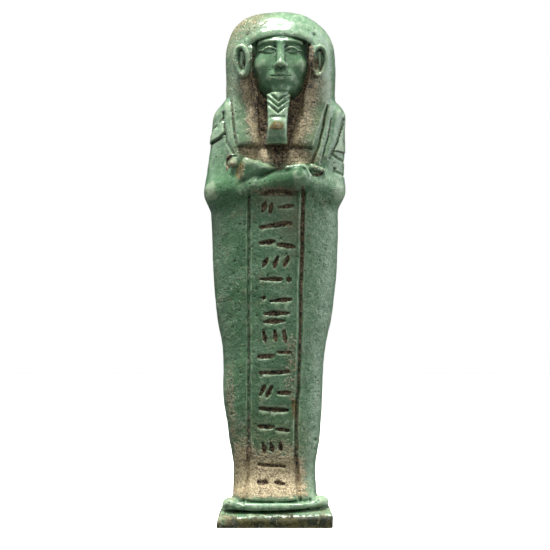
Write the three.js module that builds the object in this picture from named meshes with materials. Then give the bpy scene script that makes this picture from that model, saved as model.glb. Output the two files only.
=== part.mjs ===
// Ushabti figurine: a small mummiform funerary figure in glazed Egyptian faience,
// pressed in a mould in one piece together with its back pillar and its low plinth.
// It wears a plain tripartite wig and a plaited false beard, its arms are crossed on
// the chest under the shroud with the hands out, and it holds two hoes whose handles
// run up to the shoulders. Everything is one solid, in one node.
//
// Frame: millimetres, +Z up, the figure faces -Y, +X is to the right when it is seen
// from the front. The origin is at the centre of the underside of its bounding box.
//
// The form is one implicit function, shape(x, y, z), that is negative inside. It joins
// a lofted body, a domed wig, a face, ears, a beard, arms, hands, feet, plinth and
// pillar with soft joins, as the glaze leaves them. A lathe shell is then drawn onto it.
import * as THREE from "three";
import { mergeVertices } from "three/addons/utils/BufferGeometryUtils.js";

// ---------------------------------------------------------------- driving dimensions
const HEIGHT = 120; // plinth underside to the crown of the wig
const PLINTH = { halfX: 13.0, front: -13.8, back: 10.0, top: 3.2, slant: 0.028, round: 0.6 };
const FEET = { halfX: 11.7, front: -12.9, back: 5.5, top: 5.9 };
const PILLAR = { halfX: 4.6, back: 9.6, top: 97.5, round: 0.7 };
const WIG = { halfX: 13.0, front: 10.5, back: 9.9, dome: 108, power: 2.4, hem: 96.8, hairline: 112.7 };
const EAR = { offset: 8.62, y: -7.95, z: 106.9, halfX: 2.0, tall: 4.2, turn: 0.36 };
const BEARD = { top: 99.4, edge: 90.6, foot: 87.3, front: -13.1 };
const LAPPET = { foot: 87.1 };

// The face is a plain canon. The eyes are halfway up the head, the nose ends halfway
// between brow and chin, the mouth is a third of the way from the nose to the chin, and
// the face is five eyes wide with one eye's width between the eyes.
const FACE = { x: 1.4, halfX: 6.4, skullTop: 119.6, chin: 98.9 };
const THIRD = (FACE.skullTop - FACE.chin) * 0.29;
const BROW = FACE.chin + 2 * THIRD,
  NOSE = FACE.chin + THIRD,
  EYE = (FACE.skullTop + FACE.chin) / 2,
  MOUTH = NOSE - THIRD / 3,
  EYE_WIDE = (2 * FACE.halfX) / 5;

// z, half width, depth in front of the axis, depth behind it
const BODY = [
  [-2, 10.1, 7.3, 6.6],
  [6, 9.75, 7.2, 6.4],
  [10, 9.5, 6.9, 6.2],
  [13, 9.5, 6.7, 6.1],
  [16, 9.85, 6.7, 6.15],
  [19, 10.4, 6.8, 6.3],
  [26, 11.25, 7.1, 6.8],
  [31, 11.62, 7.3, 7.0],
  [37, 11.65, 7.6, 6.9],
  [41.5, 12.15, 7.8, 7.0],
  [47, 13.25, 8.1, 7.2],
  [54, 14.15, 8.4, 7.6],
  [61, 14.6, 8.6, 8.0],
  [68, 14.85, 8.7, 8.0],
  [75, 15.0, 8.9, 7.8],
  [81, 15.2, 9.1, 7.8],
  [88, 15.1, 8.8, 8.2],
  [92, 15.2, 8.3, 8.5],
  [95.5, 15.2, 7.8, 8.6],
  [97, 14.7, 7.5, 8.5],
  [98.6, 13.3, 7.1, 8.3],
  [100.5, 11.2, 6.7, 7.8],
  [103.5, 8.6, 6.2, 7.0],
  [108, 7.0, 5.6, 6.0],
  [114, 5.0, 4.0, 4.4],
];
// z, sideways offset of the centre line: the figure was set a little askew
const LEAN = [
  [0, 0.1],
  [14, -0.02],
  [20, -0.1],
  [30, -0.45],
  [37, -0.25],
  [42, 0.0],
  [54, 0.1],
  [68, 0.1],
  [78, 0.1],
  [82.5, 0.45],
  [87, 0.7],
  [91, 0.85],
  [95.5, 1.2],
  [100, 1.4],
  [104, 1.5],
  [121, 1.5],
];
// the edges of the lappets as x at the foot and x, z further up
const LAPPET_EDGES = {
  leftOut: [-8.9, 87.1, -10.15, 98.5],
  leftIn: [-2.9, 87.1, -5.5, 101.6],
  rightIn: [3.3, 87.1, 7.5, 101.6],
  rightOut: [9.1, 87.1, 12.25, 96.7],
};
const AXIS_Y = -0.8; // the axis that the shell is drawn from

// ---------------------------------------------------------------- small tools
const clamp = (v, a, b) => Math.min(b, Math.max(a, v));
const mix = (a, b, t) => a + (b - a) * t;
const smooth = (a, b, v) => {
  const t = clamp((v - a) / (b - a), 0, 1);
  return t * t * (3 - 2 * t);
};
const smin = (a, b, k) => {
  const h = Math.max(k - Math.abs(a - b), 0) / k;
  return Math.min(a, b) - (h * h * k) / 4;
};
const smax = (a, b, k) => -smin(-a, -b, k);

// a smooth curve through the rows of a table, read at z: column `col`
function track(table, col) {
  const z = table.map((r) => r[0]),
    v = table.map((r) => r[col]),
    n = z.length;
  const m = v.map((_, i) => {
    const a = Math.max(i - 1, 0),
      b = Math.min(i + 1, n - 1);
    return (v[b] - v[a]) / (z[b] - z[a]);
  });
  return (q) => {
    if (q <= z[0]) return v[0];
    if (q >= z[n - 1]) return v[n - 1];
    let i = 0;
    while (q > z[i + 1]) i++;
    const d = z[i + 1] - z[i],
      t = (q - z[i]) / d,
      t2 = t * t,
      t3 = t2 * t;
    return (
      (2 * t3 - 3 * t2 + 1) * v[i] +
      (t3 - 2 * t2 + t) * d * m[i] +
      (-2 * t3 + 3 * t2) * v[i + 1] +
      (t3 - t2) * d * m[i + 1]
    );
  };
}
const bodyHalf = track(BODY, 1),
  bodyFront = track(BODY, 2),
  bodyBack = track(BODY, 3),
  lean = track(LEAN, 1);

// a superellipse section with its own depth in front and behind, as a radial distance
function section(x, y, half, front, back, power) {
  const depth = y < 0 ? front : back;
  const g = Math.pow(
    Math.pow(Math.abs(x) / half, power) + Math.pow(Math.abs(y) / depth, power),
    1 / power,
  );
  const r = Math.hypot(x, y);
  return g < 1e-6 ? -Math.min(half, depth) : r - r / g;
}
function ellipsoid(x, y, z, cx, cy, cz, rx, ry, rz) {
  const ax = (x - cx) / rx,
    ay = (y - cy) / ry,
    az = (z - cz) / rz;
  const k0 = Math.hypot(ax, ay, az),
    k1 = Math.hypot(ax / rx, ay / ry, az / rz);
  return k1 < 1e-9 ? -Math.min(rx, ry, rz) : (k0 * (k0 - 1)) / k1;
}
function limb(x, y, z, a, b, ra, rb) {
  const bx = b[0] - a[0],
    by = b[1] - a[1],
    bz = b[2] - a[2];
  const px = x - a[0],
    py = y - a[1],
    pz = z - a[2];
  const h = clamp((px * bx + py * by + pz * bz) / (bx * bx + by * by + bz * bz), 0, 1);
  return Math.hypot(px - bx * h, py - by * h, pz - bz * h) - mix(ra, rb, h);
}
function block(x, y, z, lo, hi, r) {
  const qx = Math.abs(x - (lo[0] + hi[0]) / 2) - (hi[0] - lo[0]) / 2 + r,
    qy = Math.abs(y - (lo[1] + hi[1]) / 2) - (hi[1] - lo[1]) / 2 + r,
    qz = Math.abs(z - (lo[2] + hi[2]) / 2) - (hi[2] - lo[2]) / 2 + r;
  return (
    Math.hypot(Math.max(qx, 0), Math.max(qy, 0), Math.max(qz, 0)) +
    Math.min(Math.max(qx, qy, qz), 0) -
    r
  );
}
// distance in the front plane from (x, z) to a stroke
function stroke(x, z, ax, az, bx, bz) {
  const dx = bx - ax,
    dz = bz - az;
  const h = clamp(((x - ax) * dx + (z - az) * dz) / (dx * dx + dz * dz), 0, 1);
  return Math.hypot(x - ax - dx * h, z - az - dz * h);
}
const path = (x, z, ...p) =>
  Math.min(...p.slice(1).map((q, i) => stroke(x, z, p[i][0], p[i][1], q[0], q[1])));
// 1 on the line, falling smoothly to 0 at distance w
const bell = (d, w) => Math.pow(clamp(1 - (d / w) * (d / w), 0, 1), 2);
// straight lines between the rows of a table
function along(v, table) {
  if (v <= table[0][0]) return table[0][1];
  for (let i = 1; i < table.length; i++)
    if (v <= table[i][0]) {
      const [a, b] = [table[i - 1], table[i]];
      return mix(a[1], b[1], (v - a[0]) / (b[0] - a[0]));
    }
  return table[table.length - 1][1];
}

// ---------------------------------------------------------------- the parts of the form
const edgeX = ([xa, za, xb, zb], z) => mix(xa, xb, (z - za) / (zb - za));

// The wig's lappets and the hoes lie in low relief on the chest: their height above it.
function chestRelief(x, z) {
  const lo = edgeX(LAPPET_EDGES.leftOut, z),
    li = edgeX(LAPPET_EDGES.leftIn, z),
    ri = edgeX(LAPPET_EDGES.rightIn, z),
    ro = edgeX(LAPPET_EDGES.rightOut, z);
  const foot = smooth(LAPPET.foot - 0.35, LAPPET.foot + 0.4, z);
  const left = smooth(lo - 0.35, lo + 0.55, x) * (1 - smooth(li - 1.6, li + 0.5, x));
  const right = smooth(ri - 0.5, ri + 3.0, x) * (1 - smooth(ro - 0.55, ro + 0.35, x));
  const thick = along(z, [[86, 1.05], [88, 1.05], [91, 0.95], [94, 0.85], [97, 0.8], [99, 0.95], [101.5, 1.1]]);
  let h = Math.max(left, right) * foot * thick;
  // the hollow between the lappets, round the beard, and the chest falling back below them
  h -= smooth(li - 0.9, li + 0.7, x) * (1 - smooth(ri - 0.8, ri + 1.2, x)) * smooth(83.5, 87.5, z);
  h -= 0.3 * bell(z - LAPPET.foot + 0.65, 1.2) * smooth(-8.6, -7.6, x) * (1 - smooth(8.4, 9.2, x));
  // hoe handles, from the shoulders down to the hands
  h += Math.max(
    0.55 * bell(path(x, z, [-11.1, 98.4], [-10.1, 88.2], [-9.5, 84.6]), 1.6),
    0.5 * bell(path(x, z, [12.9, 96.8], [11.6, 90.0], [9.9, 83.6]), 1.45),
    0.4 * bell(path(x, z, [14.9, 95.6], [13.7, 90.0], [12.2, 85.2]), 1.5),
  );
  // hoe blades on the shoulders
  const lower = 88.9 + 0.42 * (x + 14.3) - 0.05 * (x + 14.3) ** 2,
    upper = 93.3 - 0.22 * (x + 11.6) ** 2;
  h += 0.5 * smooth(lower - 0.3, lower + 0.5, z) * (1 - smooth(upper - 0.2, upper + 0.6, z)) * (1 - smooth(-12.0, -11.5, x));
  h += 0.32 * smooth(14.2, 14.9, x - 0.28 * (z - 90)) * smooth(85.5, 86.3, z) * (1 - smooth(95.2, 96.6, z));
  return h;
}

function body(x, y, z) {
  const u = x - lean(z);
  const d = section(u, y, bodyHalf(z), bodyFront(z), bodyBack(z), 2.35);
  return smax(d, z - 112, 1.0);
}

function wig(x, y, z) {
  const u = x - FACE.x + 0.55 * smooth(112, 120, z);
  const low = clamp((WIG.dome - z) / 12, 0, 1);
  let d;
  if (z > WIG.dome) {
    // above the dome line a full superellipsoid, so that the crown closes smoothly
    const depth = y < 0 ? WIG.front : WIG.back,
      up = z - WIG.dome;
    const g = Math.pow(
      Math.pow(Math.pow(Math.abs(u) / WIG.halfX, 2.2) + Math.pow(Math.abs(y) / depth, 2.2), WIG.power / 2.2) +
        Math.pow(up / (HEIGHT + 0.15 - WIG.dome), WIG.power),
      1 / WIG.power,
    );
    const r = Math.hypot(u, y, up);
    d = r - r / Math.max(g, 1e-3);
  } else d = section(u, y, mix(WIG.halfX, 12.95, low), mix(WIG.front, 9.1, low), mix(WIG.back, 9.7, low), 2.2);
  // at the back and sides the wig ends in a straight hem on the shoulders, while in
  // front it runs on down into the lappets
  const inner = (1 - smooth(9.0, 10.6, Math.abs(u + 0.6))) * smooth(-2.0, -4.5, y);
  d = smax(d, mix(WIG.hem, 88.0, inner) - z, 0.7);
  // the opening for the face and the throat
  const v = x - FACE.x,
    wide = mix(5.2, FACE.halfX + 0.25, smooth(98.5, 103.5, z));
  const open = smax(Math.abs(v) - wide, z - WIG.hairline + 0.027 * v * v, 1.1);
  const floor = y + 6.0 + 1.6 * smooth(4.2, 6.2, Math.abs(v)) * smooth(99, 103, z);
  return smax(d, -smax(open, floor, 0.9), 0.35);
}

function face(x, y, z) {
  const u = x - FACE.x,
    a = Math.abs(u),
    w = EYE_WIDE;
  let d = ellipsoid(u, y, z, 0, -4.2, 107.2, FACE.halfX + 0.45, 6.2, 9.4);
  d = smin(d, ellipsoid(u, y, z, 0, -4.9, FACE.chin + 3.9, 4.9, 5.25, 4.3), 2.2);
  d = smin(d, ellipsoid(a, y, z, 3.5, -8.0, NOSE + 1.0, 2.3, 1.9, 2.3), 1.8);
  d = smin(d, ellipsoid(u, y, z, 0, -5.2, BROW + 0.9, 5.6, 4.75, 2.6), 1.6);
  if (y > -6) return d;
  // sockets, brows and eyes
  d = smax(d, -ellipsoid(a, y, z, w, -12.0, EYE + 0.1, 1.95, 2.25, 1.2), 0.7);
  d = smax(d, -ellipsoid(a, y, z, 1.25, -11.6, EYE + 0.4, 0.8, 1.7, 1.1), 0.6);
  d = smin(d, limb(a, y, z, [1.0, -10.1, BROW + 0.3], [4.6, -9.0, BROW + 0.35], 0.42, 0.36), 0.55);
  d = smin(d, ellipsoid(a, y, z, w, -8.45, EYE, 1.75, 1.8, 0.95), 0.25);
  // nose, mouth and chin
  d = smin(d, limb(u, y, z, [0, -10.05, BROW - 0.1], [0, -11.9, NOSE + 1.0], 0.6, 0.92), 0.9);
  d = smin(d, ellipsoid(u, y, z, 0, -12.15, NOSE + 0.72, 0.95, 0.85, 0.78), 0.5);
  d = smin(d, ellipsoid(a, y, z, w * 0.37, -11.2, NOSE + 0.5, 0.72, 0.95, 0.66), 0.55);
  d = smin(d, ellipsoid(u, y, z, 0, -9.5, MOUTH, 3.0, 1.8, 2.2), 1.0);
  d = smin(d, limb(a, y, z, [0, -11.1, MOUTH + 0.5], [1.9, -10.5, MOUTH + 0.4], 0.48, 0.3), 0.3);
  d = smin(d, limb(a, y, z, [0, -11.1, MOUTH - 0.55], [1.5, -10.7, MOUTH - 0.35], 0.5, 0.35), 0.3);
  return smin(d, ellipsoid(u, y, z, 0, -9.05, FACE.chin + 1.3, 2.1, 1.75, 1.5), 1.0);
}

function ear(x, y, z) {
  const u = x - FACE.x,
    a = Math.abs(u);
  const c = Math.cos(EAR.turn),
    s0 = Math.sin(EAR.turn);
  const dx = a - EAR.offset,
    dy = y - EAR.y,
    dz = z - EAR.z;
  // s runs across the ear, n out of it
  const s = dx * c + dy * s0 - 0.07 * dz,
    n = dx * s0 - dy * c;
  const half = (EAR.halfX + (u > 0 ? 0.22 : 0)) * (1 - 0.2 * smooth(0.5, -4, dz));
  const q = Math.hypot(s / half, dz / EAR.tall),
    slope = Math.hypot(s / half ** 2, dz / EAR.tall ** 2);
  const off = ((q - 0.8) * q) / Math.max(slope, 1e-3);
  const height = 1.0 - (u > 0 ? 0.6 * smooth(-0.2, -1.5, s) : 0) - 0.2 * smooth(1, -4, dz);
  const rim = Math.hypot(off, n - height) - 0.52;
  let plate = Math.hypot(s / (half * 0.86), dz / (EAR.tall * 0.88));
  plate = smax((plate - 1) * half * 0.86, Math.abs(n + 0.6) - 1.05, 0.5);
  let d = smin(plate, rim, 0.3);
  d = smin(d, ellipsoid(s, n, dz, -0.15, 0.35, -2.9, 0.95, 0.75, 0.95), 0.3);
  return smax(d, -ellipsoid(s, n, dz, -0.45, 0.55, -0.4, 0.5, 0.75, 0.95), 0.3);
}

function beard(x, y, z) {
  const t = clamp((BEARD.top - z) / (BEARD.top - BEARD.foot), 0, 1);
  const v = x - mix(0.95, 0.5, t);
  const half = along(z, [[BEARD.foot, 2.3], [91.5, 2.2], [95, 2.35], [99.4, 2.85]]);
  const front = along(z, [
    [BEARD.foot, -11.5],
    [89.0, -12.55],
    [BEARD.edge, BEARD.front],
    [91.4, -13.05],
    [93.0, -12.45],
    [96.0, -11.9],
    [BEARD.top, -11.0],
  ]);
  let d = smax(Math.abs(v) - half, front + 0.07 * v * v - y, 0.6);
  d = smax(d, BEARD.foot - z, 0.35);
  d = smax(d, z - BEARD.top, 0.8);
  return smax(d, y + 3.5, 0.5);
}

function arms(x, y, z) {
  // upper arms, elbows and forearms under the shroud
  let d = limb(x, y, z, [-11.5, 0.2, 94.0], [-12.5, -2.2, 77.0], 2.6, 3.6);
  d = smin(d, limb(x, y, z, [13.2, 0.2, 93.8], [12.75, -2.2, 77.4], 2.7, 3.55), 1.0);
  d = smin(d, limb(x, y, z, [-12.2, -4.0, 76.9], [-4.6, -8.0, 78.0], 3.1, 2.5), 3.0);
  return smin(d, limb(x, y, z, [12.3, -3.9, 77.4], [6.0, -7.8, 79.0], 3.1, 2.5), 3.0);
}

function hands(x, y, z) {
  // the hand that lies behind: a wedge that runs in under the other arm
  const top = (z - (84.45 - 0.36 * (x + 6.6))) * 0.941,
    low = (78.0 + 0.43 * (x + 7.95) - z) * 0.919,
    side = (-7.55 + 0.24 * (z - 81) - x) * 0.972,
    out = -11.05 + 0.16 * (84.2 - z) + 0.014 * (x + 3) ** 2;
  let wedge = smax(smax(top, low, 0.6), side, 1.0);
  wedge = smax(wedge, out - y, 1.8);
  wedge = smax(wedge, x - 2.6, 0.5);
  wedge = smax(wedge, y + 6, 0.5);
  // the forearm and hand in front of it, widening to the fist, with the thumb on top
  let front = limb(x, y, z, [-7.4, -7.9, 76.7], [4.6, -9.35, 79.5], 1.6, 3.0);
  front = smin(front, ellipsoid(x, y, z, 5.8, -9.45, 79.95, 3.0, 2.6, 3.15), 0.9);
  front = smin(front, limb(x, y, z, [2.9, -11.3, 81.6], [6.6, -11.1, 81.8], 0.5, 0.65), 0.45);
  let d = smin(wedge, front, 0.15);
  // rounded ends of the hoe handles
  d = smin(d, ellipsoid(x, y, z, -9.4, -7.9, 83.1, 1.1, 0.9, 1.05), 0.5);
  return smin(d, ellipsoid(x, y, z, 9.8, -8.3, 81.9, 1.6, 0.95, 1.0), 0.5);
}

// height of the groove between the feet and the plinth, which climbs to the right
const junction = (x) => 3.55 + 0.035 * x + 0.0055 * x * x;

function feet(x, y, z) {
  // the toes: a rounded roll that bulges forward in the middle, with a small ridge over it
  const share = Math.abs(x) / FEET.halfX,
    yy = y + 0.95 * (1 - Math.min(share, 1.2) ** 2);
  const top = FEET.top - 1.1 - 0.1 * share * share + 0.02 * x;
  let d = block(x, yy, z, [-FEET.halfX + 0.3, FEET.front + 2.7, 0.5], [FEET.halfX - 0.3, FEET.back, top], 1.0);
  const roll = smax(
    Math.hypot(yy + 10.95, z - (4.5 + 0.0035 * x * x + 0.02 * x)) - 1.05,
    Math.abs(x) - FEET.halfX + 0.1,
    1.3,
  );
  d = smin(d, roll, 0.4);
  const ridge = smax(Math.hypot(y + 10.45 - 0.012 * x * x, z - 6.15) - 0.6, Math.abs(x + 0.6) - 5.2, 1.2);
  d = smin(d, ridge, 0.45);
  d = smin(d, ellipsoid(x, y, z, 0, -5.3, 6.0, 9.6, 5.1, 3.5), 0.9);
  d = smin(d, ellipsoid(x, y, z, -10.0, -10.3, 5.1, 2.0, 2.1, 1.6), 0.6);
  return smin(d, ellipsoid(x, y, z, 10.2, -10.2, 5.5, 1.95, 2.1, 1.5), 0.6);
}

function plinth(x, y, z) {
  // square below, its upper part sloping in to the feet; its underside is cut square
  const top = Math.max(junction(x) + 0.1, PLINTH.top) - 0.3 * smooth(11.3, 13.2, Math.abs(x)),
    r = PLINTH.round;
  const q = Math.abs(x / (1 + (0.03 * (3.2 - z)) / PLINTH.halfX));
  const qx = q - PLINTH.halfX + r,
    qy = Math.abs(y - (PLINTH.front + PLINTH.back) / 2) - (PLINTH.back - PLINTH.front) / 2 + r,
    qz = z - top + r;
  const plan = Math.hypot(Math.max(qx, 0), Math.max(qy, 0)) + Math.min(Math.max(qx, qy), 0);
  let d = Math.hypot(Math.max(plan, 0), Math.max(qz, 0)) + Math.min(Math.max(plan, qz), 0) - r;
  const fall = z - (2.5 + PLINTH.slant * x);
  d = smax(d, -(y - PLINTH.front - 0.3) * 0.55 + fall * 0.835, 0.7);
  d = smax(d, (y - PLINTH.back + 0.3) * 0.55 + fall * 0.835, 0.7);
  return smax(d, (q - PLINTH.halfX) * 0.894 + fall * 0.447, 0.5);
}

function pillar(x, y, z) {
  return block(
    x - lean(z) * 0.5,
    y,
    z,
    [-PILLAR.halfX, 0, -2],
    [PILLAR.halfX, PILLAR.back, PILLAR.top],
    PILLAR.round,
  );
}

// the whole figure, negative inside
function shape(x, y, z) {
  let d = body(x, y, z);
  if (z < 22) d = smin(d, feet(x, y, z), 2.6);
  d = smin(d, pillar(x, y, z), 0.9);
  if (z > 66 && z < 103) d = smin(d, arms(x, y, z), 2.2);
  if (y < 1.5 && z > 80 && z < 104)
    d -= chestRelief(x, z) * (1 - smooth(-3.0, 0.8, y)) * (1 - smooth(99.5, 103, z));
  if (z < 8) d = smin(d, plinth(x, y, z), 0.35);
  if (z > 70 && z < 90 && y < -4) d = smin(d, hands(x, y, z), 0.3);
  if (z > 84) {
    d = smin(d, wig(x, y, z), 0.55);
    if (y < 0 && Math.abs(x - FACE.x) < 8 && z > 92) d = smin(d, face(x, y, z), 0.25);
    if (y < -3 && z > 100 && z < 114) d = smin(d, ear(x, y, z), 0.22);
    if (y < -2 && z < 102) d = smin(d, beard(x, y, z), 0.28);
  }
  return Math.max(d, -z);
}

// ---------------------------------------------------------------- the shell
// Rows of the lathe profile: evenly spaced along each stretch, closer where there is carving.
const STRETCHES = [
  // from z, to z, rows
  [2.9, 8.4, 7],
  [8.4, 70.0, 15],
  [70.0, 88.5, 19],
  [88.5, 100.0, 10],
  [100.0, 113.0, 18],
];
const PLINTH_ROWS = [0, 0.45, 1.3, 2.2]; // heights on the plinth's sides
const DOME_FROM = 114,
  DOME_ROWS = 7,
  COLUMNS = 60, // round the whole figure, half of them on each side of the front
  CROWDING = 0.52; // how far the columns crowd towards the front
const FRONT_CORNER = 12,
  BACK_CORNER = 21; // the columns that run up the plinth's corners
const ORIGIN_TOP = 108,
  ORIGIN_FOOT = 3.2;

// the direction of column j (0 at the front, COLUMNS / 2 at the back) at height z
function columnAngle(j, z) {
  const side = j > COLUMNS / 2 ? -1 : 1,
    k = side > 0 ? j : COLUMNS - j;
  const phi = (k / (COLUMNS / 2)) * Math.PI;
  const onBody = phi - CROWDING * Math.sin(phi);
  let px, py;
  if (k <= FRONT_CORNER) [px, py] = [(PLINTH.halfX * k) / FRONT_CORNER, PLINTH.front];
  else if (k <= BACK_CORNER)
    [px, py] = [PLINTH.halfX, mix(PLINTH.front, PLINTH.back, (k - FRONT_CORNER) / (BACK_CORNER - FRONT_CORNER))];
  else [px, py] = [PLINTH.halfX * (1 - (k - BACK_CORNER) / (COLUMNS / 2 - BACK_CORNER)), PLINTH.back];
  const onPlinth = Math.atan2(px, -(py - AXIS_Y));
  return side * mix(onPlinth, onBody, smooth(5, 16, z));
}

const profile = [new THREE.Vector2(0, 0)];
for (const f of [0.45, 0.85]) profile.push(new THREE.Vector2(13 * f, 0));
for (const z of PLINTH_ROWS) profile.push(new THREE.Vector2(13, z));
for (const [from, to, rows] of STRETCHES)
  for (let i = 0; i < rows; i++) profile.push(new THREE.Vector2(13, mix(from, to, i / rows)));
for (let i = 0; i <= DOME_ROWS; i++) {
  // rays that fan up from inside the head
  const a = mix(Math.atan2(DOME_FROM - ORIGIN_TOP, 13), Math.PI / 2, i / DOME_ROWS);
  profile.push(new THREE.Vector2(i === DOME_ROWS ? 0 : 14 * Math.cos(a), ORIGIN_TOP + 14 * Math.sin(a)));
}

const lathe = new THREE.LatheGeometry(profile, COLUMNS);
lathe.deleteAttribute("normal");
lathe.deleteAttribute("uv");
const shell = mergeVertices(lathe, 1e-4);
const points = [],
  held = []; // vertices of the plinth stay on their rows
{
  const p = shell.getAttribute("position");
  for (let i = 0; i < p.count; i++) {
    // the lathe turns about Y: stand it up, with its first column at the front
    const r = Math.hypot(p.getX(i), p.getZ(i)),
      zz = p.getY(i);
    const turn = Math.atan2(p.getX(i), p.getZ(i)) / (2 * Math.PI);
    const j = Math.round((turn < 0 ? turn + 1 : turn) * COLUMNS) % COLUMNS;
    const angle = columnAngle(j, zz);
    const ring = zz < 0.01 && r < 12.9;
    // each vertex is drawn in from outside along a ray to the axis
    const oz = zz > ORIGIN_TOP && zz >= DOME_FROM - 0.5 ? ORIGIN_TOP : zz < 0.01 ? 0.12 : zz;
    const ox = zz < 4 ? 0 : lean(oz),
      oy = AXIS_Y;
    const flat = zz >= DOME_FROM - 0.5 ? r : 1;
    const rise = zz >= DOME_FROM - 0.5 ? zz - ORIGIN_TOP : 0;
    const len = Math.hypot(flat, rise);
    const ux = (Math.sin(angle) * flat) / len,
      uy = (-Math.cos(angle) * flat) / len,
      uz = rise / len;
    let hi = 24;
    while (hi > 0.5 && shape(ox + ux * hi, oy + uy * hi, oz + uz * hi) > 0) hi -= 0.2;
    let lo = hi;
    hi += 0.2;
    for (let k = 0; k < 24; k++) {
      const m = (lo + hi) / 2;
      if (shape(ox + ux * m, oy + uy * m, oz + uz * m) > 0) hi = m;
      else lo = m;
    }
    const share = ring ? r / 13 : 1;
    points.push([ox + ux * lo * share, oy + uy * lo * share, zz < 0.01 ? 0 : oz + uz * lo]);
    held.push(zz < 3);
  }
}

// Even out the shell along the surface and set it back on the form, so that steep
// places such as the beard's sides and the lappets' lower edges get their share of vertices.
const near = points.map(() => new Set());
for (let i = 0; i < shell.index.count; i += 3) {
  const t = [0, 1, 2].map((k) => shell.index.getX(i + k));
  for (const a of t) for (const b of t) if (a !== b) near[a].add(b);
}
function settle(p) {
  for (let k = 0; k < 5; k++) {
    const e = 0.02,
      d = shape(p[0], p[1], p[2]);
    const g = [
      shape(p[0] + e, p[1], p[2]) - shape(p[0] - e, p[1], p[2]),
      shape(p[0], p[1] + e, p[2]) - shape(p[0], p[1] - e, p[2]),
      shape(p[0], p[1], p[2] + e) - shape(p[0], p[1], p[2] - e),
    ].map((v) => v / (2 * e));
    const n = g[0] * g[0] + g[1] * g[1] + g[2] * g[2];
    const s = clamp(d / Math.max(n, 0.2), -0.6, 0.6);
    for (let c = 0; c < 3; c++) p[c] -= s * g[c];
    if (Math.abs(d) < 1e-4) break;
  }
  p[2] = Math.max(p[2], 0);
}
for (let round = 0; round < 5; round++) {
  const moved = points.map((p, i) => {
    if (held[i]) return p;
    const c = [0, 0, 0];
    for (const j of near[i]) for (let k = 0; k < 3; k++) c[k] += points[j][k] / near[i].size;
    return p.map((v, k) => v + 0.45 * (c[k] - v));
  });
  moved.forEach((p, i) => {
    if (!held[i]) settle(p);
    points[i] = p;
  });
}

// centre the bounding box on the origin
const box = new THREE.Box3().setFromPoints(points.map((p) => new THREE.Vector3(...p)));
const mid = box.getCenter(new THREE.Vector3());
const position = new Float32Array(points.flatMap((p) => [p[0] - mid.x, p[1] - mid.y, p[2] - box.min.z]));
shell.setAttribute("position", new THREE.BufferAttribute(position, 3));
shell.computeVertexNormals();

const faience = new THREE.MeshStandardMaterial({ color: 0x7fa58c, roughness: 0.32, metalness: 0.0 });
const ushabti = new THREE.Mesh(shell, faience);
ushabti.name = "ushabti_figurine";

const figurine = new THREE.Group();
figurine.name = "ushabti";
figurine.add(ushabti);

export default figurine;
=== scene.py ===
"""Ushabti figurine in glazed faience: the looks.

The CAD node gives the size and the place. The figure's surface here is the same form in
full detail: one implicit function, shape(x, y, z), in millimetres and negative inside,
meshed on a grid that is finer where there is carving, then thinned where it is plain.
The figure faces -Y and +X is to the right when it is seen from the front.
"""
import math

import bpy
import numpy as np
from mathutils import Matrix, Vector


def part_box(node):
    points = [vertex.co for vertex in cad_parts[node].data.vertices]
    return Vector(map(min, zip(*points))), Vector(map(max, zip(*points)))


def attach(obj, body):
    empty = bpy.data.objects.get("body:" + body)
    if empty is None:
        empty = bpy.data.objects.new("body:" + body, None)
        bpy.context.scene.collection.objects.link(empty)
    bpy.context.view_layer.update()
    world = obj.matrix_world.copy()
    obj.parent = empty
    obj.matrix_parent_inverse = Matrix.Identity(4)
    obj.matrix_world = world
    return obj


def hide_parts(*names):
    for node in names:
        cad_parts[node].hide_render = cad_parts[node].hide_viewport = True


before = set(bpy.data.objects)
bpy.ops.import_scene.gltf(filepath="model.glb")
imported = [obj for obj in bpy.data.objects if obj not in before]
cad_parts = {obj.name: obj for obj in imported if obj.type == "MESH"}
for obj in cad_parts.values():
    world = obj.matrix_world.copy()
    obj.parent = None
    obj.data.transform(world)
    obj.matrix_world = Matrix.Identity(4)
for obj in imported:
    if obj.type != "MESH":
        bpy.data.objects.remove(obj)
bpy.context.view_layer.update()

NODE = "ushabti_figurine"
NODE_LO, NODE_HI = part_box(NODE)
MM = 0.001

# ------------------------------------------------------------------ sizes, millimetres
HEIGHT = 120.0  # underside of the plinth to the crown of the wig
FACE_X = 1.4  # the head sits a little to the right of the plinth's middle
PLINTH = dict(half=13.0, front=-13.8, back=10.0, top=3.2, slant=0.05, edge=1.0)
FEET = dict(half=11.7, front=-12.9, back=5.5, top=5.9, edge=1.5)
PILLAR = dict(half=4.6, back=9.6, top=97.5, edge=0.7)
WIG = dict(half=13.0, front=10.5, back=9.9, dome=108.0, power=2.4, hem=96.8)
HAIRLINE = 112.7
LAPPET = dict(foot=87.1, top=101.6, thick=1.05)
EAR = dict(out=8.62, y=-7.95, z=106.9, half=2.0, tall=4.2, turn=0.36)
BEARD = dict(top=99.4, edge=90.6, foot=87.3, out=-13.1)

# The face is a plain canon: everything follows from the top of the skull, the chin and
# the width of the face. The eyes are halfway up the head, the nose ends halfway between
# brow and chin, the mouth is a third of the way from nose to chin, and the face is five
# eyes wide with one eye's width between the eyes.
SKULL_TOP, CHIN, FACE_HALF = 119.6, 98.9, 6.4
THIRD = (SKULL_TOP - CHIN) * 0.29
BROW = CHIN + 2 * THIRD
NOSE = CHIN + THIRD
EYE = (SKULL_TOP + CHIN) / 2
MOUTH = NOSE - THIRD / 3
EYE_WIDE = 2 * FACE_HALF / 5

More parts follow.
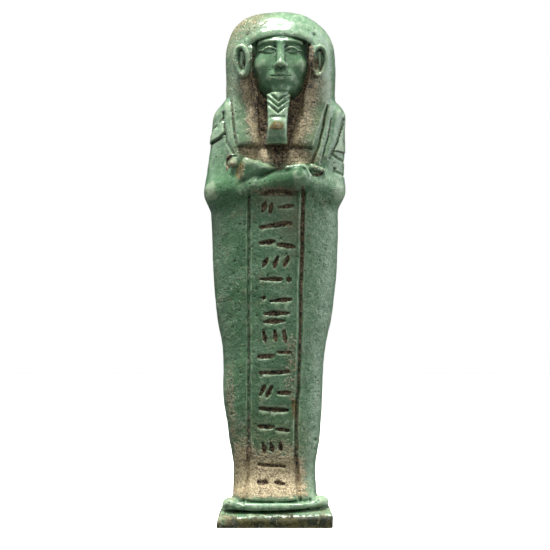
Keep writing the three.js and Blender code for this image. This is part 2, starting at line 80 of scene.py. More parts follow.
# z, half width, depth in front of the axis, depth behind it
BODY = [
    [-2, 10.1, 7.3, 6.6],
    [6, 9.75, 7.2, 6.4],
    [10, 9.5, 6.9, 6.2],
    [13, 9.5, 6.7, 6.1],
    [16, 9.85, 6.7, 6.15],
    [19, 10.4, 6.8, 6.3],
    [26, 11.25, 7.1, 6.8],
    [31, 11.62, 7.3, 7.0],
    [37, 11.65, 7.6, 6.9],
    [41.5, 12.15, 7.8, 7.0],
    [47, 13.25, 8.1, 7.2],
    [54, 14.15, 8.4, 7.6],
    [61, 14.6, 8.6, 8.0],
    [68, 14.85, 8.7, 8.0],
    [75, 15.0, 8.9, 7.8],
    [81, 15.2, 9.1, 7.8],
    [88, 15.1, 8.8, 8.2],
    [92, 15.2, 8.3, 8.5],
    [95.5, 15.2, 7.8, 8.6],
    [97, 14.7, 7.5, 8.5],
    [98.6, 13.3, 7.1, 8.3],
    [100.5, 11.2, 6.7, 7.8],
    [103.5, 8.6, 6.2, 7.0],
    [108, 7.0, 5.6, 6.0],
    [114, 5.0, 4.0, 4.4],
]
# z, sideways place of the centre line: the figure was set a little askew
LEAN = [
    [0, 0.1], [14, -0.02], [20, -0.1], [30, -0.45], [37, -0.25], [42, 0.0], [54, 0.1],
    [68, 0.1], [78, 0.1], [82.5, 0.45], [87, 0.7], [91, 0.85], [95.5, 1.2], [100, 1.4],
    [104, 1.5], [121, 1.5],
]

# ------------------------------------------------------------------ small tools
F = np.float32


def mix(a, b, t):
    return a + (b - a) * t


def smooth(a, b, v):
    t = np.clip((v - a) / (b - a), 0.0, 1.0)
    return t * t * (3.0 - 2.0 * t)


def smin(a, b, k):
    h = np.maximum(k - np.abs(a - b), 0.0) / k
    return np.minimum(a, b) - h * h * (k * 0.25)


def smax(a, b, k):
    return -smin(-a, -b, k)


def bell(d, w):
    """1 on the line, falling smoothly to 0 at distance w"""
    t = np.clip(1.0 - (d / w) ** 2, 0.0, 1.0)
    return t * t


def track(table, col):
    """a smooth curve through one column of a table, read at z"""
    z = np.array([r[0] for r in table], float)
    v = np.array([r[col] for r in table], float)
    m = np.array([
        (v[min(i + 1, len(v) - 1)] - v[max(i - 1, 0)])
        / (z[min(i + 1, len(v) - 1)] - z[max(i - 1, 0)])
        for i in range(len(v))
    ])
    q = np.linspace(z[0], z[-1], 2400)
    i = np.clip(np.searchsorted(z, q, side="right") - 1, 0, len(z) - 2)
    h = z[i + 1] - z[i]
    t = (q - z[i]) / h
    fine = (
        (2 * t**3 - 3 * t**2 + 1) * v[i]
        + (t**3 - 2 * t**2 + t) * h * m[i]
        + (-2 * t**3 + 3 * t**2) * v[i + 1]
        + (t**3 - t**2) * h * m[i + 1]
    )
    return lambda p: np.interp(p, q, fine).astype(F)


body_half, body_front, body_back = (track(BODY, c) for c in (1, 2, 3))
lean = track(LEAN, 1)


def section(x, y, half, front, back, power):
    """a superellipse with its own depth in front and behind, as a radial distance"""
    depth = np.where(y < 0, front, back)
    g = ((np.abs(x) / half) ** power + (np.abs(y) / depth) ** power) ** (1.0 / power)
    g = np.maximum(g, 1e-3)
    r = np.hypot(x, y)
    return np.where(r < 1e-3, -half, r - r / g)


def ellipsoid(x, y, z, c, r):
    ax, ay, az = (x - c[0]) / r[0], (y - c[1]) / r[1], (z - c[2]) / r[2]
    k0 = np.sqrt(ax * ax + ay * ay + az * az)
    k1 = np.sqrt((ax / r[0]) ** 2 + (ay / r[1]) ** 2 + (az / r[2]) ** 2)
    return k0 * (k0 - 1.0) / np.maximum(k1, 1e-4)


def limb(x, y, z, a, b, ra, rb):
    bx, by, bz = b[0] - a[0], b[1] - a[1], b[2] - a[2]
    px, py, pz = x - a[0], y - a[1], z - a[2]
    h = np.clip((px * bx + py * by + pz * bz) / (bx * bx + by * by + bz * bz), 0, 1)
    return np.sqrt((px - bx * h) ** 2 + (py - by * h) ** 2 + (pz - bz * h) ** 2) - (ra + (rb - ra) * h)


def block(x, y, z, lo, hi, r):
    qx = np.abs(x - (lo[0] + hi[0]) / 2) - (hi[0] - lo[0]) / 2 + r
    qy = np.abs(y - (lo[1] + hi[1]) / 2) - (hi[1] - lo[1]) / 2 + r
    qz = np.abs(z - (lo[2] + hi[2]) / 2) - (hi[2] - lo[2]) / 2 + r
    out = np.sqrt(np.maximum(qx, 0) ** 2 + np.maximum(qy, 0) ** 2 + np.maximum(qz, 0) ** 2)
    return out + np.minimum(np.maximum(np.maximum(qx, qy), qz), 0) - r


def stroke(x, z, a, b):
    """distance in the front plane from (x, z) to the stroke from a to b"""
    dx, dz = b[0] - a[0], b[1] - a[1]
    h = np.clip(((x - a[0]) * dx + (z - a[1]) * dz) / (dx * dx + dz * dz + 1e-9), 0, 1)
    return np.hypot(x - a[0] - dx * h, z - a[1] - dz * h)


def path(x, z, *points):
    d = stroke(x, z, points[0], points[1])
    for a, b in zip(points[1:], points[2:]):
        d = np.minimum(d, stroke(x, z, a, b))
    return d


def span(z, a, b):
    """the stretch of a sorted z that lies between a and b"""
    i, j = np.searchsorted(z, (a, b))
    return slice(int(i), int(j))


def waves(seed, wavelength, count=5):
    """a smooth uneven field made of a few crossed waves, about -1 to 1"""
    rng = np.random.RandomState(seed)
    k = rng.normal(size=(count, 3))
    k /= np.linalg.norm(k, axis=1)[:, None]
    k *= 2 * math.pi / (wavelength * rng.uniform(0.75, 1.35, size=(count, 1)))
    phase = rng.uniform(0, 2 * math.pi, count)

    def field(x, y, z):
        total = 0.0
        for (a, b, c), p in zip(k, phase):
            total = total + np.sin(F(a) * x + F(b) * y + F(c) * z + F(p))
        return total / (0.62 * count)

    return field


slow_wave = waves(3, 17.0)
hand_wave = waves(11, 6.5, 6)
skin_wave = waves(23, 2.3, 6)

# ------------------------------------------------------------------ relief on the front
# Edges of the lappets in the front plane, as x at height z
LAPPET_EDGES = dict(
    left_out=((-8.9, 87.1), (-10.15, 98.5)),
    left_in=((-2.9, 87.1), (-5.5, 101.6)),
    right_in=((3.3, 87.1), (7.5, 101.6)),
    right_out=((9.1, 87.1), (12.25, 96.7)),
)


def edge_x(name, z):
    (xa, za), (xb, zb) = LAPPET_EDGES[name]
    return xa + (xb - xa) * (z - za) / (zb - za)


def inscription():
    """Rows of plain dashes, ticks and dots down the panel: x, z of both ends, half width, depth."""
    rng = np.random.RandomState(7)
    # each mark: sideways place, height in the row, length, turn in degrees
    kinds = [
        [(-2.9, 0.1, 2.3, 74), (-1.2, -0.1, 2.1, 76), (2.2, 0.1, 3.3, 4)],
        [(0.1, 0.0, 7.2, 3)],
        [(-2.2, 0.55, 3.0, 6), (2.3, -0.5, 3.5, -2)],
        [(-2.4, 0.0, 2.3, 66), (0.1, 0.0, 2.5, 70), (2.6, 0.1, 2.2, 72)],
        [(-0.9, 0.1, 5.0, -4), (3.3, 0.2, 0.3, 0)],
        [(-2.6, 0.3, 0.3, 0), (1.2, -0.1, 4.8, 2)],
        [(0.2, 0.75, 5.6, 4), (0.0, -0.85, 5.0, 0)],
        [(-2.2, 0.0, 2.6, 100), (0.2, 0.1, 2.3, 98), (2.5, -0.1, 2.6, 96)],
        [(-2.3, -0.3, 3.1, 0), (2.2, 0.4, 3.2, -4)],
        [(0.1, 0.0, 6.8, 6)],
        [(-2.9, 0.1, 2.3, 62), (-1.0, 0.0, 2.5, 64), (2.5, -0.2, 2.6, -6)],
        [(-0.1, 0.3, 6.6, -3)],
        [(-2.0, 0.3, 3.2, 4), (2.0, -0.5, 2.9, -5)],
        [(-2.4, 0.0, 2.1, 106), (-0.2, 0.1, 2.4, 104), (2.0, 0.0, 2.2, 102)],
        [(-0.4, 0.0, 6.2, -2)],
        [(-2.5, 0.1, 2.2, 2), (1.6, 0.0, 2.6, -3)],
    ]
    rows = []
    top, foot = 72.9, 9.2
    for k, kind in enumerate(kinds):
        t = k / (len(kinds) - 1)
        zc, xc, squeeze = mix(top, foot, t), mix(0.35, -0.4, t), mix(1.0, 0.92, t)
        for x, dz, length, turn in kind:
            a = math.radians(turn + rng.uniform(-5, 5))
            half = length / 2 * squeeze
            cx, cz = xc + x * squeeze + rng.uniform(-0.2, 0.2), zc + dz + rng.uniform(-0.2, 0.2)
            # worn shallower halfway down and towards the foot
            deep = 0.66 - 0.2 * bell(abs(k - 7.5), 3.4) - 0.12 * smooth(12, 15, k)
            rows.append((
                cx - half * math.cos(a), cz - half * math.sin(a),
                cx + half * math.cos(a), cz + half * math.sin(a),
                rng.uniform(0.58, 0.82) + (0.35 if length < 0.5 else 0.0), deep * rng.uniform(0.9, 1.15),
            ))
    return rows


STROKES = inscription()
BORDER_LEFT = [(-5.95, 76.2), (-5.95, 51.0), (-5.9, 30.0), (-5.85, 11.4), (-7.2, 5.6)]
BORDER_RIGHT = [(6.6, 76.0), (6.15, 55.0), (5.8, 39.0), (5.2, 28.0), (4.9, 16.5), (5.85, 5.8)]

# larger pits that break the glaze in front: x, z, radius, depth
PITS = [
    (-2.75, 90.9, 0.42, 0.6), (-13.4, 92.2, 0.5, 0.35), (-7.2, 79.1, 0.4, 0.4),
    (13.9, 82.2, 0.4, 0.4), (-10.7, 4.6, 0.5, 0.35), (-11.1, 1.9, 0.5, 0.35),
    (-3.8, 0.9, 0.45, 0.3), (8.0, 5.9, 0.35, 0.3), (9.9, 6.0, 0.3, 0.25),
    (5.0, 77.3, 0.3, 0.3), (-3.2, 34.0, 0.32, 0.3), (9.4, 19.2, 0.42, 0.35),
    (2.6, 62.0, 0.3, 0.3), (-9.2, 60.4, 0.3, 0.25), (11.2, 88.9, 0.3, 0.25),
]


def scattered_pits():
    rng = np.random.RandomState(41)
    out = []
    for _ in range(230):
        z = rng.uniform(1.0, 118.0)
        x = rng.uniform(-13.5, 13.8)
        r = rng.uniform(0.16, 0.3)
        out.append((x, z, r, r * rng.uniform(0.5, 0.9)))
    return out


ALL_PITS = sorted(PITS + scattered_pits(), key=lambda p: p[1])
FACE_KEEP = (FACE_X, 106.0, 6.2, 7.6)  # the face has no scattered pits


wander_x, wander_z = waves(31, 5.0, 4), waves(32, 5.0, 4)
fray = waves(33, 1.5, 5)


def hand(x, z):
    """the small wander of a tool held in the hand"""
    flat = np.zeros_like(x)
    much = 0.1 + 0.12 * smooth(24.0, 10.0, z)
    return x + much * wander_x(x, flat, z), z + much * wander_z(x, flat, z)


def mark(x, z, row):
    """how deep inside a mark of the inscription, 0 to 1: tapered, with ragged sides"""
    ax, az, bx, bz, wide, _ = row
    u, v = hand(x, z)
    dx, dz = bx - ax, bz - az
    t = np.clip(((u - ax) * dx + (v - az) * dz) / (dx * dx + dz * dz + 1e-9), 0, 1)
    d = np.hypot(u - ax - dx * t, v - az - dz * t)
    lens = 0.5 + 0.62 * np.sin(math.pi * (0.06 + 0.88 * t)) + 0.14 * np.sin(6.0 * t + 3.0 * ax)
    thick = wide * (lens + (0.16 + 0.2 * smooth(24.0, 10.0, z)) * fray(x, np.zeros_like(x), z))
    return bell(d / np.maximum(thick, 0.12), 1.0)


def cut_path(h, x, z, points, wide, deep, ridge=0.0):
    lo, hi = min(p[1] for p in points) - 1.6, max(p[1] for p in points) + 1.6
    s = span(z, lo, hi)
    if s.start < s.stop:
        d = path(*hand(x[s], z[s]), *points)
        h[s] -= deep * bell(d, wide)
        if ridge:
            h[s] += ridge * bell(np.abs(d - wide * 1.25), wide * 0.8)


def relief(x, z):
    """height of the low relief over the body's front; z is sorted"""
    h = np.zeros_like(x)
    s = span(z, 80.0, 104.5)
    if s.start < s.stop:
        xs, zs = x[s], z[s]
        # lappets: flat bands whose inner sides slope down into the hollows by the beard
        foot = smooth(LAPPET["foot"] - 0.25, LAPPET["foot"] + 0.3, zs - 0.2 * np.sin(0.6 * xs))
        foot = foot * (0.8 + 0.2 * smooth(LAPPET["foot"], LAPPET["foot"] + 1.4, zs))
        lo, li, ri, ro = (edge_x(n, zs) for n in ("left_out", "left_in", "right_in", "right_out"))
        left = smooth(lo - 0.35, lo + 0.55, xs) * (1 - smooth(li - 1.6, li + 0.5, xs))
        right = smooth(ri - 0.5, ri + 3.0, xs) * (1 - smooth(ro - 0.55, ro + 0.35, xs))
        crown = 1 + 0.12 * bell(np.abs(xs - (lo + li) / 2), 3.5) + 0.12 * bell(np.abs(xs - (ri + ro) / 2 - 0.8), 3.6)
        thick = np.interp(zs, [86, 88, 91, 94, 97, 99, 101.5], [1.05, 1.05, 0.95, 0.85, 0.8, 0.95, 1.1]).astype(F)
        band = np.maximum(left, right) * foot * thick * crown
        # the hollow between the lappets, deepest beside the beard
        hollow = smooth(li - 0.9, li + 0.7, xs) * (1 - smooth(ri - 0.8, ri + 1.2, xs))
        hollow = hollow * smooth(83.5, 87.5, zs)
        band = band - 1.0 * hollow
        # under the lappets the chest falls back
        under = bell(np.abs(zs - (LAPPET["foot"] - 0.65)), 1.2) * smooth(-8.6, -7.6, xs) * (1 - smooth(8.4, 9.2, xs))
        h[s] += band - 0.3 * under
    # the strips of the two hoe handles, from the shoulders down to the hands
    s = span(z, 80.5, 101.0)
    if s.start < s.stop:
        xs, zs = x[s], z[s]
        strip = 0.55 * bell(path(xs, zs, (-11.1, 98.4), (-10.1, 88.2), (-9.5, 84.6)), 1.6)
        strip = np.maximum(strip, 0.5 * bell(path(xs, zs, (12.9, 96.8), (11.6, 90.0), (9.9, 83.6)), 1.45))
        strip = np.maximum(strip, 0.4 * bell(path(xs, zs, (14.9, 95.6), (13.7, 90.0), (12.2, 85.2)), 1.5))
        h[s] += strip
    cut_path(h, x, z, [(-10.05, 99.0), (-9.55, 93.0), (-8.8, 87.6)], 0.5, 0.5)
    cut_path(h, x, z, [(-12.0, 95.6), (-11.7, 92.0), (-11.1, 88.3), (-9.6, 85.5)], 0.5, 0.42)
    cut_path(h, x, z, [(12.25, 97.0), (11.3, 92.0), (10.2, 87.4), (8.75, 83.2)], 0.48, 0.75)
    cut_path(h, x, z, [(13.2, 93.9), (12.3, 89.0), (11.3, 85.6), (10.8, 83.4)], 0.34, 0.3)
    cut_path(h, x, z, [(16.2, 94.2), (15.2, 90.3), (14.0, 87.0), (12.7, 84.6)], 0.55, 0.5)
    # the blade on the left shoulder, proud over a sharp lower edge
    s = span(z, 86.5, 98.0)
    if s.start < s.stop:
        xs, zs = x[s], z[s]
        lower = 88.9 + 0.42 * (xs + 14.3) - 0.05 * (xs + 14.3) ** 2
        upper = 93.3 - 0.22 * (xs + 11.6) ** 2
        blade = smooth(lower - 0.12, lower + 0.35, zs) * (1 - smooth(upper - 0.1, upper + 0.5, zs))
        blade = blade * (1 - smooth(-12.0, -11.5, xs))
        h[s] += 0.5 * blade
        # and the one on the right shoulder
        right = smooth(14.2, 14.9, xs - 0.28 * (zs - 90)) * smooth(85.6, 86.2, zs) * (1 - smooth(95.2, 96.6, zs))
        h[s] += 0.32 * right
    cut_path(h, x, z, [(-14.6, 88.75), (-13.0, 89.35), (-11.9, 90.2)], 0.5, 0.6)
    cut_path(h, x, z, [(-14.3, 92.3), (-13.0, 92.9), (-12.0, 94.3)], 0.4, 0.25)
    # folds at the right elbow
    cut_path(h, x, z, [(13.6, 85.3), (14.8, 84.7), (16.4, 84.4)], 0.45, 0.35)
    cut_path(h, x, z, [(13.6, 81.6), (14.9, 81.4), (16.6, 81.0)], 0.5, 0.3)
    # the inscription panel: border grooves with a burr on the inner side, and its rows
    cut_path(h, x, z, BORDER_LEFT, 0.55, 0.42, 0.05)
    cut_path(h, x, z, BORDER_RIGHT, 0.62, 0.7, 0.08)
    s = span(z, 5.0, 78.0)
    if s.start < s.stop:
        xs, zs = x[s], z[s]
        right = np.interp(zs, [p[1] for p in BORDER_RIGHT[::-1]], [p[0] for p in BORDER_RIGHT[::-1]])
        left = np.interp(zs, [p[1] for p in BORDER_LEFT[::-1]], [p[0] for p in BORDER_LEFT[::-1]])
        inside = smooth(left + 0.1, left + 0.7, xs) * (1 - smooth(right - 0.75, right - 0.2, xs))
        h[s] += (0.16 * inside * smooth(5.0, 8.0, zs) * (1 - smooth(74.5, 77.0, zs))).astype(F)
        h[s] += 0.14 * bell(np.abs(xs - right + 0.95), 0.55).astype(F) * smooth(16, 30, zs)
    for row in STROKES:
        s = span(z, min(row[1], row[3]) - 1.4, max(row[1], row[3]) + 1.4)
        if s.start < s.stop:
            h[s] -= row[5] * mark(x[s], z[s], row)
    # the worn hollow at the head of the panel, under the forearms
    s = span(z, 73.5, 79.0)
    if s.start < s.stop:
        arc = np.abs(np.hypot((x[s] - 0.7) / 1.15, z[s] - 72.6) - 4.1)
        h[s] -= 0.6 * bell(arc, 0.75) * smooth(75.2, 76.0, z[s])
    for px, pz, r, deep in ALL_PITS:
        if (px - FACE_KEEP[0]) ** 2 / FACE_KEEP[2] ** 2 + (pz - FACE_KEEP[1]) ** 2 / FACE_KEEP[3] ** 2 < 1:
            continue
        s = span(z, pz - 2 * r, pz + 2 * r)
        if s.start < s.stop:
            h[s] -= deep * bell(np.hypot(x[s] - px, z[s] - pz), r * 1.45)
    return h


# ------------------------------------------------------------------ the parts of the form
def body(x, y, z):
    u = x - lean(z)
    return section(u, y, body_half(z), body_front(z), body_back(z), 2.35)


def wig(x, y, z):
    u = x - FACE_X + 0.55 * smooth(112, 120, z)
    low = np.clip((WIG["dome"] - z) / 12.0, 0, 1)
    half, front, back = mix(WIG["half"], 12.95, low), mix(WIG["front"], 9.1, low), mix(WIG["back"], 9.7, low)
    d = section(u, y, half, front, back, 2.2)
    i = np.flatnonzero(z > WIG["dome"])
    if i.size:
        # above the dome line a full superellipsoid, so that the crown closes smoothly
        p, up = WIG["power"], z[i] - WIG["dome"]
        depth = np.where(y[i] < 0, WIG["front"], WIG["back"])
        plan = (np.abs(u[i]) / WIG["half"]) ** 2.2 + (np.abs(y[i]) / depth) ** 2.2
        g = (plan ** (p / 2.2) + (up / (HEIGHT + 0.15 - WIG["dome"])) ** p) ** (1 / p)
        r = np.sqrt(u[i] ** 2 + y[i] ** 2 + up**2)
        d[i] = r - r / np.maximum(g, 1e-3)
    # at the back and sides the wig ends in a straight hem on the shoulders
    # while in front it runs on down into the lappets
    inner = (1 - smooth(9.0, 10.6, np.abs(u + 0.6))) * smooth(-2.0, -4.5, y)
    d = smax(d, mix(WIG["hem"], 88.0, inner) - z, 0.7)
    # the opening for the face and the throat
    v = x - FACE_X
    wide = mix(5.2, FACE_HALF + 0.25, smooth(98.5, 103.5, z))
    edge = z - (HAIRLINE - 0.027 * v * v)
    opening = smax(np.abs(v) - wide, edge, 1.1)
    window = smax(opening, y + 6.0 + 1.6 * smooth(4.2, 6.2, np.abs(v)) * smooth(99, 103, z), 0.9)
    d = smax(d, -window, 0.35)
    # a soft swelling of the band over the brow, and the notches in front of the ears
    d = d - 0.22 * bell(np.abs(edge - 0.9), 1.5) * (y < -4) * (np.abs(v) < 8)
    notch = path(np.abs(v), z, (7.0, 110.8), (7.6, 113.2))
    d = d + 0.3 * bell(notch, 1.0) * (y < -4)
    return d


def face(x, y, z):
    u = x - FACE_X
    a = np.abs(u)
    w = EYE_WIDE
    d = ellipsoid(u, y, z, (0, -4.2, 107.2), (FACE_HALF + 0.45, 6.2, 9.4))
    d = smin(d, ellipsoid(u, y, z, (0, -4.9, CHIN + 3.9), (4.9, 5.25, 4.3)), 2.2)
    d = smin(d, ellipsoid(a, y, z, (3.5, -8.0, NOSE + 1.0), (2.3, 1.9, 2.3)), 1.8)
    # forehead runs flat up under the wig
    d = smin(d, ellipsoid(u, y, z, (0, -5.2, BROW + 0.9), (5.6, 4.75, 2.6)), 1.6)
    # sockets and brows
    d = smax(d, -ellipsoid(a, y, z, (w, -12.0, EYE + 0.1), (1.95, 2.25, 1.2)), 0.7)
    d = smax(d, -ellipsoid(a, y, z, (1.25, -11.6, EYE + 0.4), (0.8, 1.7, 1.1)), 0.6)
    brow_z = BROW + 0.45 - 0.055 * (a - 2.7) ** 2
    brow = np.hypot(z - brow_z, y + 10.1 - 0.09 * (a - 0.9) ** 2) - 0.42
    brow = smax(brow, smax(0.75 - a, a - 5.1, 0.4), 0.4)
    d = smin(d, brow, 0.55)
    # the eye: a full lens between two rims
    s = (a - w) / (w * 0.62)
    over, under = EYE + 0.62 * (1 - s * s), EYE - 0.5 * (1 - s * s)
    ball = ellipsoid(a, y, z, (w, -8.35, EYE), (1.75, 1.75, 1.15))
    d = smin(d, ball, 0.2)
    lid_y = -10.12 + 0.16 * (a - w + 0.5) ** 2
    upper = np.hypot((z - over) * 0.9, y - lid_y) - 0.2
    lower = np.hypot((z - under) * 0.9, y - lid_y - 0.08) - 0.15
    reach = np.abs(a - w) - w * 0.64
    d = smin(d, smax(smin(upper, lower, 0.1), reach, 0.25), 0.16)
    tail = limb(a, y, z, (w * 1.55, -9.45, EYE + 0.05), (w * 1.95, -8.75, EYE + 0.1), 0.2, 0.14)
    d = smin(d, tail, 0.25)
    # nose
    d = smin(d, limb(u, y, z, (0, -10.05, BROW - 0.1), (0, -11.9, NOSE + 1.0), 0.6, 0.92), 0.9)
    d = smin(d, ellipsoid(u, y, z, (0, -12.15, NOSE + 0.72), (0.95, 0.85, 0.78)), 0.5)
    d = smin(d, ellipsoid(a, y, z, (w * 0.37, -11.2, NOSE + 0.5), (0.72, 0.95, 0.66)), 0.55)
    d = smax(d, -ellipsoid(a, y, z, (0.55, -11.9, NOSE - 0.1), (0.32, 0.5, 0.34)), 0.25)
    # mouth: closed, the corners a little up
    d = smin(d, ellipsoid(u, y, z, (0, -9.5, MOUTH), (3.0, 1.8, 2.2)), 1.0)
    top_z = MOUTH + 0.52 - 0.05 * a * a + 0.1 * bell(np.abs(a - 0.55), 0.5) + 0.012 * a**3
    low_z = MOUTH - 0.55 + 0.075 * a * a
    lip_y = -11.15 + 0.2 * a * a
    fade = smax(a - 2.25, -0.1 - a, 0.2)
    top = smax(np.hypot((z - top_z) * 1.15, y - lip_y) - 0.48 + 0.075 * a, fade, 0.3)
    low = smax(np.hypot(z - low_z, y - lip_y - 0.05) - 0.52 + 0.09 * a, a - 1.85, 0.3)
    d = smin(d, smin(top, low, 0.12), 0.28)
    seam = np.hypot((z - (MOUTH + 0.02 + 0.035 * a * a)) * 1.0, (y - lip_y + 0.42) * 0.55) - 0.16
    d = smax(d, -smax(seam, a - 2.35, 0.2), 0.12)
    d = smin(d, ellipsoid(u, y, z, (0, -9.05, CHIN + 1.3), (2.1, 1.75, 1.5)), 1.0)
    return d


def ear(x, y, z):
    u = x - FACE_X
    a = np.abs(u)
    c, s0 = math.cos(EAR["turn"]), math.sin(EAR["turn"])
    dx, dy, dz = a - EAR["out"], y - EAR["y"], z - EAR["z"]
    s = dx * c + dy * s0 - 0.07 * dz
    n = dx * s0 - dy * c
    half = (EAR["half"] + 0.22 * (u > 0)) * (1 - 0.2 * smooth(0.5, -4.0, dz))
    q = np.sqrt((s / half) ** 2 + (dz / EAR["tall"]) ** 2)
    slope = np.sqrt((s / half**2) ** 2 + (dz / EAR["tall"] ** 2) ** 2)
    off = (q - 0.8) * q / np.maximum(slope, 1e-3)
    height = 1.0 - 0.6 * smooth(-0.2, -1.5, s) * (u > 0) - 0.2 * smooth(1.0, -4, dz)
    rim = np.hypot(off, n - height) - 0.52
    plate = np.sqrt((s / (half * 0.86)) ** 2 + (dz / (EAR["tall"] * 0.88)) ** 2)
    plate = smax((plate - 1) * half * 0.86, np.abs(n + 0.6) - 1.05, 0.5)
    d = smin(plate, rim, 0.3)
    fold = np.hypot(np.hypot(s - 0.25 + 0.1 * dz, np.maximum(np.abs(dz - 0.6) - 1.3, 0)), n - 0.5) - 0.3
    d = smin(d, fold, 0.25)
    lobe = ellipsoid(s, n, dz, (-0.15, 0.35, -2.9), (0.95, 0.75, 0.95))
    d = smin(d, lobe, 0.3)
    hole = ellipsoid(s, n, dz, (-0.45, 0.55, -0.4), (0.5, 0.75, 0.95))
    return smax(d, -hole, 0.3)


def beard(x, y, z):
    t = np.clip((BEARD["top"] - z) / (BEARD["top"] - BEARD["foot"]), 0, 1)
    cx = mix(0.95, 0.5, t)
    half = np.interp(z, [BEARD["foot"], 91.5, 95, 99.4], [2.45, 2.2, 2.4, 2.9]).astype(F)
    v = x - cx
    face_y = np.interp(
        z, [BEARD["foot"], 89.0, BEARD["edge"], 91.4, 93.0, 96.0, BEARD["top"]],
        [-11.5, -12.55, BEARD["out"], -13.05, -12.45, -11.9, -11.0],
    ).astype(F)
    face_y = face_y + 0.12 * v * v
    # plaits: chevrons that point down, then a smooth tip
    zz = z - 0.85 * np.abs(v)
    cut = np.zeros_like(x)
    for tip in (97.25, 95.85, 94.45):
        cut = np.maximum(cut, bell(np.abs(zz - tip) * 0.76, 0.5))
    cut = 0.62 * cut * smooth(93.2, 93.9, z) * (0.75 + 0.25 * bell(v, 3.0))
    cut = cut + 0.2 * bell(np.abs(z - 93.3), 0.6)
    d = smax(np.abs(v) - half, face_y + cut - y, 1.1)
    d = smax(d, BEARD["foot"] - z, 0.35)
    d = smax(d, z - BEARD["top"], 0.8)
    return smax(d, y + 3.5, 0.5)


def arms(x, y, z):
    d = limb(x, y, z, (-11.5, 0.2, 94.0), (-12.5, -2.2, 77.0), 2.6, 3.6)
    d = smin(d, limb(x, y, z, (13.2, 0.2, 93.8), (12.75, -2.2, 77.4), 2.7, 3.55), 1.0)
    d = smin(d, limb(x, y, z, (-12.2, -4.0, 76.9), (-4.6, -8.0, 78.0), 3.1, 2.5), 3.0)
    d = smin(d, limb(x, y, z, (12.3, -3.9, 77.4), (6.0, -7.8, 79.0), 3.1, 2.5), 3.0)
    return d


def hands(x, y, z):
    # the hand that lies behind: a wedge that runs in under the other arm
    top = (z - (84.45 - 0.36 * (x + 6.6))) * 0.941
    low = ((78.0 + 0.43 * (x + 7.95)) - z) * 0.919
    side = (-8.1 + 0.24 * (z - 81.0) - x) * 0.972
    out = -11.05 + 0.16 * (84.2 - z) + 0.014 * (x + 3) ** 2
    wedge = smax(smax(top, low, 0.6), side, 1.0)
    wedge = smax(wedge, out - y, 1.8)
    wedge = smax(wedge, x - 2.6, 0.5)
    wedge = smax(wedge, y + 6.0, 0.5)
    # the forearm and hand in front of it, widening to the fist
    front = limb(x, y, z, (-7.4, -7.9, 76.7), (4.6, -9.35, 79.5), 1.6, 3.0)
    front = smin(front, ellipsoid(x, y, z, (5.8, -9.45, 79.95), (3.0, 2.6, 3.15)), 0.9)
    # the thumb along the top of the fist
    thumb = limb(x, y, z, (2.9, -11.3, 81.6), (6.6, -11.1, 81.8), 0.5, 0.65)
    front = smin(front, thumb, 0.45)
    d = smin(wedge, front, 0.15)
    # rounded ends of the hoe handles, each in a small ring-shaped hollow
    d = smin(d, ellipsoid(x, y, z, (-9.5, -7.95, 83.2), (0.95, 0.6, 0.85)), 0.5)
    d = smin(d, limb(x, y, z, (8.6, -8.5, 82.2), (10.9, -7.7, 81.5), 0.75, 0.7), 0.5)
    return d


def junction(x):
    """height of the groove between the feet and the plinth, which climbs to the right"""
    return 3.55 + 0.035 * x + 0.0055 * x * x


def feet(x, y, z):
    f = FEET
    # the toes: a rounded roll that bulges forward in the middle, with a small ridge over it
    bow = 0.95 * (1 - (np.abs(x) / f["half"]).clip(0, 1.2) ** 2)
    yy = y + bow
    top = f["top"] - 1.1 - 0.1 * (x / f["half"]) ** 2 + 0.02 * x
    d = block(x, yy, z, (-f["half"] + 0.3, f["front"] + 2.7, 0.5), (f["half"] - 0.3, f["back"], top), 1.0)
    roll = np.hypot(yy + 10.95, z - (4.5 + 0.0035 * x * x + 0.02 * x)) - 1.05
    roll = smax(roll, np.abs(x) - f["half"] + 0.1, 1.3)
    d = smin(d, roll, 0.4)
    ridge = np.hypot(y + 10.45 - 0.012 * x * x, z - 6.15) - 0.6
    d = smin(d, smax(ridge, np.abs(x + 0.6) - 5.2, 1.2), 0.45)
    d = smin(d, ellipsoid(x, y, z, (0, -5.3, 6.0), (9.6, 5.1, 3.5)), 0.9)
    d = smin(d, ellipsoid(x, y, z, (-10.0, -10.3, 5.1), (2.0, 2.1, 1.6)), 0.6)
    d = smin(d, ellipsoid(x, y, z, (10.2, -10.2, 5.5), (1.95, 2.1, 1.5)), 0.6)
    return d


def plinth(x, y, z):
    # square below, its upper part sloping in to the feet
    p = PLINTH
    top = np.maximum(junction(x) + 0.1, p["top"]) - 0.3 * smooth(11.3, 13.2, np.abs(x))
    q = np.abs(x / (1 + 0.03 * (3.2 - z) / p["half"]))
    ex = 0.6
    qx = q - p["half"] + ex
    qy = np.abs(y - (p["front"] + p["back"]) / 2) - (p["back"] - p["front"]) / 2 + ex
    qz = z - top + ex
    corner = np.hypot(np.maximum(qx, 0), np.maximum(qy, 0))
    plan = corner + np.minimum(np.maximum(qx, qy), 0)
    d = np.hypot(np.maximum(plan, 0), np.maximum(qz, 0)) + np.minimum(np.maximum(plan, qz), 0) - ex
    fall = z - (2.5 + 0.028 * x)
    d = smax(d, -(y - p["front"] - 0.3) * 0.55 + fall * 0.835, 0.7)
    d = smax(d, (y - p["back"] + 0.3) * 0.55 + fall * 0.835, 0.7)
    return smax(d, (q - p["half"]) * 0.894 + fall * 0.447, 0.5)


def pillar(x, y, z):
    p = PILLAR
    return block(x - lean(z) * 0.5, y, z, (-p["half"], 0, -2.0), (p["half"], p["back"], p["top"]), p["edge"])


